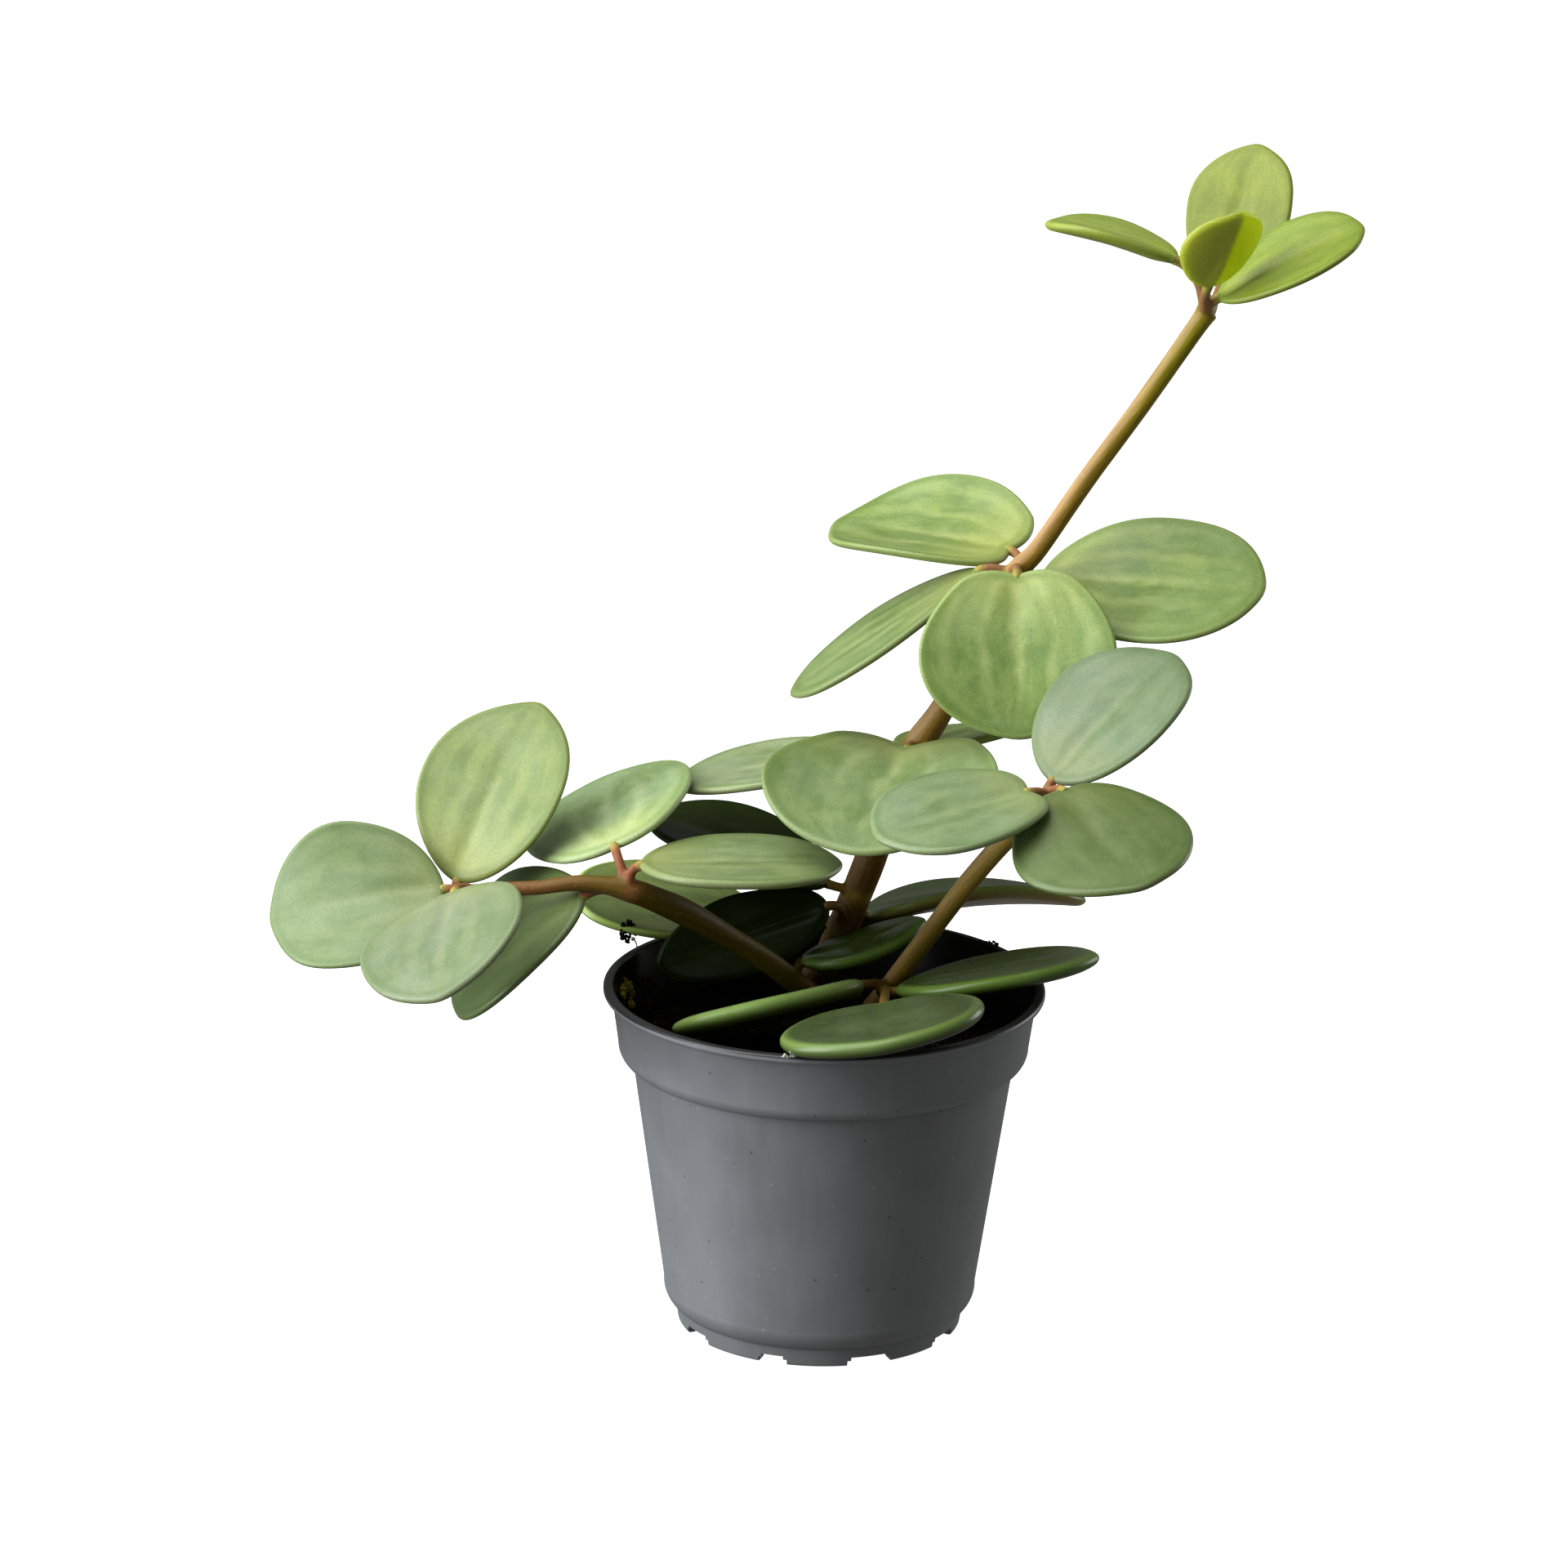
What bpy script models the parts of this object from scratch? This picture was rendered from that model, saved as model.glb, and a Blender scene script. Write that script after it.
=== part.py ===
"""A young peperomia in a small plastic nursery pot.

Each leaf blade, each stem with its leaf stalks, the soil and the pot is one solid. Lengths are in
millimetres up to the helpers, which turn them into metres. The plant is laid out from the pot's
own axis, and an empty carries it all, so that the middle of the plant's spread is the origin.
"""
from dataclasses import dataclass
from math import cos, pi, radians, sin

import bmesh
import bpy
from mathutils import Euler, Vector

MM = 0.001
GAP = 0.3
STALK_GAP = 0.4

# Pot: a thin moulded nursery pot, 60 mm across its lip
POT_HEIGHT = 48.0
LIP_RADIUS = 30.0
LIP_WIDTH = 1.4
LIP_DEPTH = 1.0
COLLAR_TOP_RADIUS = 28.8
COLLAR_LOW_RADIUS = 27.9
COLLAR_LOW = 37.8
COLLAR_ROUND = 2.0
BODY_TOP_RADIUS = 25.9
BODY_LOW_RADIUS = 20.9
BODY_ROUND = 3.2
WALL = 1.2
FLOOR = 1.6
FOOT_RADIUS = 19.4
FOOT_WIDTH = 2.4
FOOT_HEIGHT = 2.2
FOOT_COUNT = 9
NOTCH_WIDTH = 5.0
NOTCH_HEIGHT = 1.3
FOOT_TURN = 11.0
DRAIN_COUNT = 4
DRAIN_RADIUS = 1.7
DRAIN_CIRCLE = 10.0
POT_SIDES = 44

# Soil: a plug that stops short of the lip, a little uneven on top
SOIL_TOP = 39.8
SOIL_WAVE = 0.5
SOIL_RINGS = 5
SOIL_SIDES = 44
HOLE_SIDES = 20
HOLE_ROOM = 0.7
STEM_SINK = 7.0

# Blades: thick and fleshy, thinner at the rim
RIM_SHARE = 0.6
BLADE_SIDES = 20
BLADE_RINGS = (0.5, 0.9)

# Where the pot's axis stands from the middle of the whole plant's spread
POT_PLACE = (2.3, 1.0)

STALK_SIDES = 7
STEM_SIDES = 10


@dataclass(frozen=True)
class Stem:
    """A stem's centre line, from the soil up, as x, y, z and radius."""
    name: str
    route: tuple
    colour: tuple


@dataclass(frozen=True)
class Leaf:
    """One blade and the stalk that joins it to its stem.

    stem and at say which point of which stem's route the stalk starts from, and base is where the
    blade starts. heading turns from +X towards +Y, rise lifts the tip, and roll lifts the left edge.
    cup lifts both edges, and arch lifts the middle, as shares of the half width and the length.
    taper and blunt shape the outline: a larger taper narrows the base, a larger blunt sharpens the tip.
    lobe draws the shoulders back past the stalk, and thick is the blade's thickness.
    """
    name: str
    stem: str
    at: int
    base: tuple
    heading: float
    rise: float
    roll: float
    length: float
    width: float
    cup: float = 0.1
    arch: float = 0.03
    taper: float = 0.55
    blunt: float = 0.5
    lobe: float = 0.0
    thick: float = 1.6
    stalk: float = 0.6
    colour: tuple = (0.24, 0.38, 0.14)


BRIGHT = (0.42, 0.55, 0.12)
FRESH = (0.26, 0.40, 0.13)
BLUISH = (0.23, 0.36, 0.18)
DARK = (0.06, 0.11, 0.03)
STEM_TAN = (0.30, 0.20, 0.07)
STEM_BROWN = (0.17, 0.11, 0.04)

STEMS = (
    Stem("tall_stem", (
        (-2.2, 19.8, 41.2, 2.3), (0.6, 19.1, 45.0, 2.3), (2.3, 18.5, 49.5, 2.25), (4.5, 17.6, 55.7, 2.2),
        (6.4, 16.7, 61.4, 2.2), (8.9, 15.8, 69.9, 1.9), (12.0, 15.0, 77.0, 2.1), (15.7, 15.0, 83.1, 1.7),
        (20.2, 15.2, 92.4, 1.55), (24.8, 15.5, 101.5, 1.6), (28.2, 15.6, 105.6, 1.35),
        (34.4, 15.9, 115.2, 1.3), (41.4, 16.3, 125.4, 1.3), (48.4, 16.7, 136.1, 1.35),
        (50.0, 17.0, 138.5, 1.6)), STEM_TAN),
    Stem("right_stem", (
        (6.7, 10.3, 41.2, 1.5), (8.7, 8.0, 44.6, 1.5), (11.8, 3.7, 50.8, 1.4), (15.3, -1.4, 57.8, 1.35),
        (18.8, -6.0, 64.5, 1.4), (22.8, -10.4, 71.2, 1.4), (28.6, -16.0, 80.0, 1.6)), STEM_BROWN),
    Stem("left_stem", (
        (0.3, 11.8, 41.2, 1.65), (-2.7, 9.5, 44.0, 1.6), (-7.8, 5.5, 49.3, 1.6), (-13.0, 2.0, 53.8, 1.6),
        (-18.9, -2.0, 58.6, 1.85), (-23.8, -5.0, 61.8, 1.7), (-26.4, -6.0, 63.0, 1.65),
        (-29.8, -6.0, 63.7, 1.25), (-34.2, -5.5, 63.7, 1.1), (-38.6, -4.5, 62.7, 1.0),
        (-43.0, -3.5, 62.1, 1.0), (-48.0, -2.5, 61.2, 1.15)), STEM_BROWN),
)

LEAVES = (
    # Crown of the tall stem
    Leaf("crown_left_leaf", "tall_stem", 14, (45.4, 17.0, 145.5), 167, 12, 6, 17.8, 15.0, 0.14, 0.04,
         colour=BRIGHT),
    Leaf("crown_back_leaf", "tall_stem", 14, (52.1, 22.5, 141.1), 63, 57, 1, 19.8, 15.2, 0.07, 0.01,
         colour=BRIGHT),
    Leaf("crown_right_leaf", "tall_stem", 14, (51.0, 14.0, 140.9), -3, 28, 19, 21.5, 15.2, 0.15, 0.01,
         taper=0.65, blunt=0.45, colour=BRIGHT),
    Leaf("crown_front_leaf", "tall_stem", 14, (49.6, 11.5, 143.2), -54, 60, -4, 12.8, 12.5, 0.2, 0.0,
         colour=BRIGHT),
    # Upper node of the tall stem
    Leaf("upper_back_leaf", "tall_stem", 9, (24.4, 22.2, 103.3), 149, -1, -12, 27.5, 25.0, 0.29, 0.01,
         blunt=0.6, colour=FRESH),
    Leaf("upper_left_leaf", "tall_stem", 9, (20.3, 15.5, 102.4), 176, -36, -6, 31.2, 17.2, 0.02, 0.01,
         taper=0.67, colour=FRESH),
    Leaf("upper_front_leaf", "tall_stem", 9, (25.1, 10.0, 103.3), -86, -66, 8, 22.0, 26.5, 0.14, 0.04,
         lobe=3.0, colour=FRESH),
    Leaf("upper_right_leaf", "tall_stem", 9, (28.6, 20.0, 100.2), -20, 3, 30, 31.5, 24.0, 0.07, 0.0,
         colour=FRESH),
    # Lower node of the tall stem
    Leaf("middle_front_leaf", "tall_stem", 6, (10.7, 11.0, 78.2), -105, -16, 2, 27.8, 32.4, 0.22, 0.04,
         lobe=6.0, colour=FRESH),
    Leaf("middle_left_leaf", "tall_stem", 6, (7.0, 17.0, 75.6), 184, -9, 1, 28.0, 20.0, 0.08, 0.01,
         colour=FRESH),
    Leaf("middle_back_leaf", "tall_stem", 6, (13.0, 19.0, 75.4), 54, -4, -14, 24.2, 21.6, 0.08, 0.01,
         colour=FRESH),
    # Right stem
    Leaf("right_back_leaf", "right_stem", 6, (29.5, -15.0, 82.0), 36, 35, 10, 24.5, 20.5, 0.12, 0.04,
         colour=BLUISH),
    Leaf("right_left_leaf", "right_stem", 6, (26.3, -20.6, 82.2), -153, -9, -9, 22.3, 20.5, 0.06, 0.01,
         colour=BLUISH),
    Leaf("right_front_leaf", "right_stem", 6, (30.9, -19.5, 82.2), -67, -13, 12, 25.5, 23.5, -0.07, -0.03,
         blunt=0.55, colour=BLUISH),
    # First node of the left stem
    Leaf("near_back_leaf", "left_stem", 6, (-28.5, -3.0, 68.1), 95, 3, -24, 25.9, 25.0, -0.02, 0.02,
         taper=0.6, colour=FRESH),
    Leaf("near_right_leaf", "left_stem", 6, (-25.1, -7.0, 66.9), 3, 0, 1, 26.9, 21.0, 0.06, 0.0,
         thick=1.8, colour=FRESH),
    Leaf("near_left_leaf", "left_stem", 6, (-32.4, -5.2, 62.0), 158, -42, -36, 26.0, 22.2, 0.13, 0.06,
         taper=0.58, colour=BLUISH),
    # End of the left stem
    Leaf("far_back_leaf", "left_stem", 11, (-50.0, 0.9, 61.5), 53, 50, 13, 27.3, 20.7, 0.15, 0.06,
         taper=0.6, blunt=0.59, colour=FRESH),
    Leaf("far_left_leaf", "left_stem", 11, (-51.4, -2.0, 61.5), 179, -12, -46, 23.8, 22.1, 0.21, 0.06,
         blunt=0.47, colour=BLUISH),
    Leaf("far_front_leaf", "left_stem", 11, (-49.8, -8.0, 63.0), -92, -16, 24, 24.8, 24.0, 0.07, 0.04,
         blunt=0.57, colour=BLUISH),
    # Low leaves, just above the soil
    Leaf("low_top_leaf", "tall_stem", 3, (0.4, 16.5, 56.9), 165, 16, -3, 26.5, 20.8, 0.11, 0.03,
         thick=1.3, colour=DARK),
    Leaf("low_back_leaf", "tall_stem", 2, (0.5, 13.5, 54.8), 182, -21, -53, 24.9, 11.7, 0.05, 0.01,
         taper=0.5, thick=1.4, colour=DARK),
    Leaf("low_middle_leaf", "left_stem", 1, (-3.3, 10.6, 47.5), 4, 19, 2, 17.8, 10.3, 0.0, -0.04,
         thick=2.2, colour=DARK),
    Leaf("low_right_leaf", "tall_stem", 2, (5.7, 21.5, 50.6), 16, 0, -14, 31.5, 19.5, 0.16, 0.05,
         taper=0.42, blunt=0.55, thick=2.0, colour=DARK),
    Leaf("low_left_leaf", "tall_stem", 2, (-9.3, 27.2, 49.2), 192, 8, -16, 26.2, 18.4, 0.07, 0.0,
         blunt=0.4, thick=1.4, colour=DARK),
    Leaf("rim_right_leaf", "right_stem", 1, (9.6, 0.3, 47.0), -3, 12, -7, 27.8, 18.5, 0.05, 0.0,
         taper=0.6, thick=2.3, colour=DARK),
    Leaf("rim_front_leaf", "right_stem", 1, (7.9, -14.0, 49.6), -91, 6, 11, 23.0, 27.7, 0.04, 0.0,
         thick=2.0, colour=DARK),
    Leaf("rim_left_leaf", "right_stem", 1, (5.3, 2.1, 47.3), 203, -6, 32, 27.6, 15.2, 0.05, -0.03,
         thick=2.1, colour=DARK),
)


def clear_scene():
    """Remove whatever the scene holds, and its unused meshes."""
    for item in list(bpy.data.objects):
        bpy.data.objects.remove(item, do_unlink=True)


def make_material(name, colour, roughness, metallic=0.0):
    """A Principled material of one colour."""
    material = bpy.data.materials.new(name)
    material.use_nodes = True
    shader = material.node_tree.nodes["Principled BSDF"]
    shader.inputs["Base Color"].default_value = (*colour, 1.0)
    shader.inputs["Roughness"].default_value = roughness
    shader.inputs["Metallic"].default_value = metallic
    material.diffuse_color = (*colour, 1.0)
    return material


def add_object(name, bm, material=None, parent=None):
    """Turn a bmesh in millimetres into an object in metres."""
    bmesh.ops.scale(bm, verts=bm.verts, vec=(MM, MM, MM))
    bmesh.ops.recalc_face_normals(bm, faces=bm.faces)
    mesh = bpy.data.meshes.new(name)
    bm.to_mesh(mesh)
    bm.free()
    item = bpy.data.objects.new(name, mesh)
    bpy.context.scene.collection.objects.link(item)
    if material:
        mesh.materials.append(material)
    if parent:
        item.parent = parent
    mesh.shade_smooth()
    mesh.set_sharp_from_angle(angle=radians(35))
    return item


def join_rings(bm, rings):
    """Skin closed rings of equal length, and close both ends."""
    sides = len(rings[0])
    for low, high in zip(rings, rings[1:]):
        for i in range(sides):
            j = (i + 1) % sides
            bm.faces.new((low[i], low[j], high[j], high[i]))
    bm.faces.new(rings[0])
    bm.faces.new(rings[-1])


def turned(profile, sides):
    """Spin a closed profile of (radius, height) points about Z, with points on the axis merged."""
    bm = bmesh.new()
    verts = [bm.verts.new((radius, 0.0, height)) for radius, height in profile]
    edges = [bm.edges.new(pair) for pair in zip(verts, verts[1:])]
    bmesh.ops.spin(bm, geom=verts + edges, cent=(0, 0, 0), axis=(0, 0, 1), angle=2 * pi, steps=sides,
                   use_merge=True)
    bmesh.ops.remove_doubles(bm, verts=bm.verts, dist=0.001)
    return bm


def arc(centre, radius, start, end, steps):
    """Points of an arc in the (radius, height) plane, angles in degrees."""
    points = []
    for i in range(steps + 1):
        angle = radians(start + (end - start) * i / steps)
        points.append((centre[0] + radius * cos(angle), centre[1] + radius * sin(angle)))
    return points


def cut(target, tools, solver="EXACT"):
    """Subtract each tool from the target, and remove the tools."""
    for tool in tools:
        modifier = target.modifiers.new("Cut", "BOOLEAN")
        modifier.operation = "DIFFERENCE"
        modifier.solver = solver
        modifier.object = tool
        apply_modifier(target, modifier)
        bpy.data.objects.remove(tool, do_unlink=True)


def apply_modifier(item, modifier):
    """Keep a modifier's result as the object's mesh."""
    bpy.context.view_layer.objects.active = item
    with bpy.context.temp_override(object=item, active_object=item, selected_objects=[item]):
        bpy.ops.object.modifier_apply(modifier=modifier.name)


def unite(name, pieces, material, parent):
    """One Boolean union of the pieces, which are then removed."""
    body, *others = pieces
    group = bpy.data.collections.new(name + "_pieces")
    for piece in others:
        group.objects.link(piece)
    modifier = body.modifiers.new("Join", "BOOLEAN")
    modifier.operation = "UNION"
    modifier.operand_type = "COLLECTION"
    modifier.collection = group
    modifier.solver = "MANIFOLD"
    apply_modifier(body, modifier)
    for piece in others:
        bpy.data.objects.remove(piece, do_unlink=True)
    bpy.data.collections.remove(group)
    body.name = name
    body.data.materials.clear()
    body.data.materials.append(material)
    body.parent = parent
    return body


def pot_wall_radius(height):
    """Outer radius of the tapered body at a height."""
    share = (height - FOOT_HEIGHT) / (COLLAR_LOW - FOOT_HEIGHT)
    return BODY_LOW_RADIUS + (BODY_TOP_RADIUS - BODY_LOW_RADIUS) * share


def make_pot(parent):
    """The pot: body, collar and lip in one turned wall, feet notched under its edge."""
    corner = pot_wall_radius(FOOT_HEIGHT + BODY_ROUND)
    inside_low = corner - WALL
    profile = [(0.0, FOOT_HEIGHT), (FOOT_RADIUS - FOOT_WIDTH, FOOT_HEIGHT)]
    profile += [(FOOT_RADIUS - FOOT_WIDTH, 0.0), (FOOT_RADIUS, 0.0), (FOOT_RADIUS + 0.2, FOOT_HEIGHT - 0.3)]
    profile += arc((corner - BODY_ROUND, FOOT_HEIGHT + BODY_ROUND), BODY_ROUND, -62, 0, 3)
    profile += [(BODY_TOP_RADIUS, COLLAR_LOW)]
    profile += arc((COLLAR_LOW_RADIUS - COLLAR_ROUND, COLLAR_LOW + COLLAR_ROUND), COLLAR_ROUND, -75, 0, 3)
    profile += [(COLLAR_TOP_RADIUS, POT_HEIGHT - LIP_DEPTH - 1.0), (LIP_RADIUS, POT_HEIGHT - LIP_DEPTH)]
    profile += [(LIP_RADIUS, POT_HEIGHT - 0.3), (LIP_RADIUS - 0.3, POT_HEIGHT)]
    profile += [(LIP_RADIUS - LIP_WIDTH, POT_HEIGHT)]
    profile += [(COLLAR_LOW_RADIUS - WALL, COLLAR_LOW + 1.6), (BODY_TOP_RADIUS - WALL, COLLAR_LOW + 0.4)]
    profile += [(inside_low, FOOT_HEIGHT + BODY_ROUND + 1.0), (inside_low - 2.0, FOOT_HEIGHT + FLOOR)]
    profile += [(0.0, FOOT_HEIGHT + FLOOR)]
    material = make_material("grey_plastic", (0.105, 0.115, 0.12), 0.5)
    pot = add_object("pot", turned(profile, POT_SIDES), material, parent)
    tools = []
    for i in range(FOOT_COUNT):
        angle = radians(FOOT_TURN + i * 360 / FOOT_COUNT)
        bm = bmesh.new()
        bmesh.ops.create_cube(bm, size=1.0)
        bmesh.ops.scale(bm, verts=bm.verts, vec=(FOOT_WIDTH + 3, NOTCH_WIDTH, NOTCH_HEIGHT * 2))
        bmesh.ops.translate(bm, verts=bm.verts, vec=(FOOT_RADIUS - FOOT_WIDTH / 2 + 0.5, 0, 0))
        bmesh.ops.rotate(bm, verts=bm.verts, cent=(0, 0, 0), matrix=Euler((0, 0, angle)).to_matrix())
        tools.append(add_object(f"notch_{i}", bm, None, parent))
    for i in range(DRAIN_COUNT):
        angle = radians(45 + i * 360 / DRAIN_COUNT)
        bm = bmesh.new()
        bmesh.ops.create_cone(bm, cap_ends=True, segments=12, radius1=DRAIN_RADIUS, radius2=DRAIN_RADIUS,
                              depth=FLOOR * 3)
        bmesh.ops.translate(bm, verts=bm.verts, vec=(DRAIN_CIRCLE * cos(angle), DRAIN_CIRCLE * sin(angle),
                                                     FOOT_HEIGHT + FLOOR / 2))
        tools.append(add_object(f"drain_{i}", bm, None, parent))
    cut(pot, tools)
    return pot


def soil_height(x, y):
    """The uneven top of the soil."""
    return SOIL_TOP + SOIL_WAVE * (sin(x * 0.31 + 0.6) + cos(y * 0.27 - 0.4)) * 0.5


def make_soil(parent):
    """The soil plug, with a plain hole for each stem."""
    low = FOOT_HEIGHT + FLOOR + GAP
    inner_top = COLLAR_LOW_RADIUS - WALL - GAP
    inner_mid = BODY_TOP_RADIUS - WALL - GAP
    inner_low = pot_wall_radius(FOOT_HEIGHT + BODY_ROUND) - WALL - GAP
    outline = ((inner_low - 2.2, low), (inner_low, FOOT_HEIGHT + BODY_ROUND + 1.3),
               (inner_mid, COLLAR_LOW + 0.4), (inner_top - 0.1, SOIL_TOP))
    bm = bmesh.new()
    rings = []
    for radius, height in outline:
        rings.append(ring(bm, SOIL_SIDES, lambda a, r=radius, h=height: (r * cos(a), r * sin(a), h)))
    for i in range(1, SOIL_RINGS):
        radius = (inner_top - 0.2) * (1 - i / SOIL_RINGS)
        rings.append(ring(bm, SOIL_SIDES // (2 if i > 2 else 1),
                          lambda a, r=radius: (r * cos(a), r * sin(a), soil_height(r * cos(a), r * sin(a)))))
    skin_soil(bm, rings)
    soil = add_object("soil", bm, make_material("peat", (0.012, 0.009, 0.007), 0.95), parent)
    tools = []
    for stem in STEMS:
        x, y, z, radius = stem.route[0]
        hole = radius + HOLE_ROOM
        depth = STEM_SINK + GAP + SOIL_WAVE * 4
        bm = bmesh.new()
        bmesh.ops.create_cone(bm, cap_ends=True, segments=HOLE_SIDES, radius1=hole, radius2=hole, depth=depth)
        bmesh.ops.translate(bm, verts=bm.verts, vec=(x, y, z - STEM_SINK - GAP + depth / 2))
        tools.append(add_object(stem.name + "_hole", bm, None, parent))
    cut(soil, tools)
    return soil


def ring(bm, sides, place):
    """A closed ring of vertices, placed by a function of the angle."""
    return [bm.verts.new(place(2 * pi * i / sides)) for i in range(sides)]


def skin_soil(bm, rings):
    """Skin rings of which an inner one may have half as many points, and close both ends."""
    for outer, inner in zip(rings, rings[1:]):
        step = len(outer) // len(inner)
        for i in range(len(inner)):
            j = (i + 1) % len(inner)
            if step == 1:
                bm.faces.new((outer[i], outer[j], inner[j], inner[i]))
            else:
                middle = outer[i * 2 + 1]
                bm.faces.new((outer[i * 2], middle, inner[i]))
                bm.faces.new((middle, inner[j], inner[i]))
                bm.faces.new((middle, outer[j * 2], inner[j]))
    bm.faces.new(rings[0])
    bm.faces.new(rings[-1])


def smooth_route(points, steps):
    """Points of a Catmull-Rom curve through the given ones, with their radii."""
    padded = [points[0], *points, points[-1]]
    result = []
    for i in range(1, len(padded) - 2):
        a, b, c, d = (Vector(padded[k]) for k in range(i - 1, i + 3))
        for k in range(steps):
            t = k / steps
            result.append(0.5 * (2 * b + (c - a) * t + (2 * a - 5 * b + 4 * c - d) * t * t
                                 + (3 * b - a - 3 * c + d) * t ** 3))
    result.append(Vector(padded[-2]))
    return result


def tube(name, route, sides):
    """A closed tube along points that hold x, y, z and radius."""
    bm = bmesh.new()
    rings = []
    side = Vector((0, 1, 0))
    for i, point in enumerate(route):
        here = point.to_3d()
        before = route[max(i - 1, 0)].to_3d()
        after = route[min(i + 1, len(route) - 1)].to_3d()
        along = (after - before).normalized()
        side = (side - along * side.dot(along)).normalized()
        across = along.cross(side)
        radius = point[3]
        rings.append([bm.verts.new(here + radius * (cos(a) * side + sin(a) * across))
                      for a in (2 * pi * k / sides for k in range(sides))])
    join_rings(bm, rings)
    return add_object(name, bm)


def leaf_direction(leaf):
    """The unit vector from a blade's base to its tip."""
    heading, rise = radians(leaf.heading), radians(leaf.rise)
    return Vector((cos(rise) * cos(heading), cos(rise) * sin(heading), sin(rise)))


def stalk_route(leaf, stem):
    """The stalk's curve, from inside the stem to just short of the blade."""
    start = Vector(stem.route[leaf.at][:3])
    base = Vector(leaf.base)
    forward = leaf_direction(leaf)
    end = base - forward * STALK_GAP
    reach = (end - start).length
    bend = end - forward * reach * 0.4
    points = []
    for i in range(6):
        t = i / 5
        place = (1 - t) ** 2 * start + 2 * t * (1 - t) * bend + t * t * end
        points.append(Vector((*place, leaf.stalk * (1.15 - 0.25 * t))))
    return points


def make_stem(stem, parent):
    """A stem and the stalks that grow from it, as one solid."""
    foot_x, foot_y, foot_z, foot_radius = stem.route[0]
    route = [Vector((foot_x, foot_y, foot_z - STEM_SINK, foot_radius))]
    route += smooth_route(stem.route, 2)
    pieces = [tube(stem.name + "_tube", route, STEM_SIDES)]
    for leaf in LEAVES:
        if leaf.stem == stem.name:
            pieces.append(tube(leaf.name + "_stalk", stalk_route(leaf, stem), STALK_SIDES))
    return unite(stem.name, pieces, make_material(stem.name, stem.colour, 0.55), parent)


def outline_half_width(leaf, share):
    """Half the blade's width at a share of its length."""
    if share <= 0 or share >= 1:
        return 0.0
    widest = leaf.taper / (leaf.taper + leaf.blunt)
    peak = widest ** leaf.taper * (1 - widest) ** leaf.blunt
    return leaf.width / 2 * share ** leaf.taper * (1 - share) ** leaf.blunt / peak


def blade_point(leaf, size, angle, lift):
    """A point of the blade, on the outline shrunk to size about the middle of the blade."""
    share = (1 - cos(angle)) / 2
    side = 1 if sin(angle) >= 0 else -1
    share_in = 0.5 + (share - 0.5) * size
    half = outline_half_width(leaf, share)
    shoulder = min(1.0, half / (leaf.width * 0.3)) * (1 - share) ** 4
    x = leaf.length * share_in - leaf.lobe * shoulder * size
    y = side * half * size
    curve = leaf.cup * 2 * y * y / leaf.width + leaf.arch * leaf.length * 4 * share_in * (1 - share_in)
    return x, y, curve + lift


def make_blade(leaf, parent):
    """A thick blade: a centre point and rings on both faces, joined round the rim."""
    bm = bmesh.new()
    faces = []
    for sign in (1, -1):
        half = sign * leaf.thick / 2
        centre = bm.verts.new(blade_point(leaf, 0.0, 0.0, half))
        rings = [ring(bm, BLADE_SIDES, lambda a, s=size, h=half: blade_point(leaf, s, a, h))
                 for size in BLADE_RINGS]
        rings.append(ring(bm, BLADE_SIDES, lambda a, h=half * RIM_SHARE: blade_point(leaf, 1.0, a, h)))
        for i in range(BLADE_SIDES):
            j = (i + 1) % BLADE_SIDES
            bm.faces.new((centre, rings[0][i], rings[0][j]))
            for inner, outer in zip(rings, rings[1:]):
                bm.faces.new((inner[i], outer[i], outer[j], inner[j]))
        faces.append(rings[-1])
    top, under = faces
    for i in range(BLADE_SIDES):
        j = (i + 1) % BLADE_SIDES
        bm.faces.new((top[i], under[i], under[j], top[j]))
    blade = add_object(leaf.name, bm, make_material(leaf.name, leaf.colour, 0.4), parent)
    blade.location = Vector(leaf.base) * MM
    blade.rotation_euler = (radians(leaf.roll), -radians(leaf.rise), radians(leaf.heading))
    return blade


def main():
    """Build the pot, soil, stems and leaves on one empty."""
    clear_scene()
    axis = bpy.data.objects.new("pot_axis", None)
    bpy.context.scene.collection.objects.link(axis)
    axis.location = (POT_PLACE[0] * MM, POT_PLACE[1] * MM, 0.0)
    make_pot(axis)
    make_soil(axis)
    for stem in STEMS:
        make_stem(stem, axis)
    for leaf in LEAVES:
        make_blade(leaf, axis)


main()
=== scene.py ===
"""Potted peperomia: a young plant with thick round leaves in a small moulded nursery pot.

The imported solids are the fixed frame. Every one of them is stood for by a finer piece of the same
form in the same place: the pot is turned again with soft edges, the peat gets its crumbs, the stems
grow together with their leaf stalks, and each blade gets a rounded rim, a midrib and its veins.
Lengths are in millimetres from the pot's own axis until a mesh is made from them.
"""
import logging
from dataclasses import dataclass, field, replace
from enum import Enum
from math import cos, exp, pi, radians, sin, sqrt
from typing import Any, Sequence

import bmesh
import bpy
import numpy as np
from mathutils import Euler, Matrix, Vector


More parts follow.
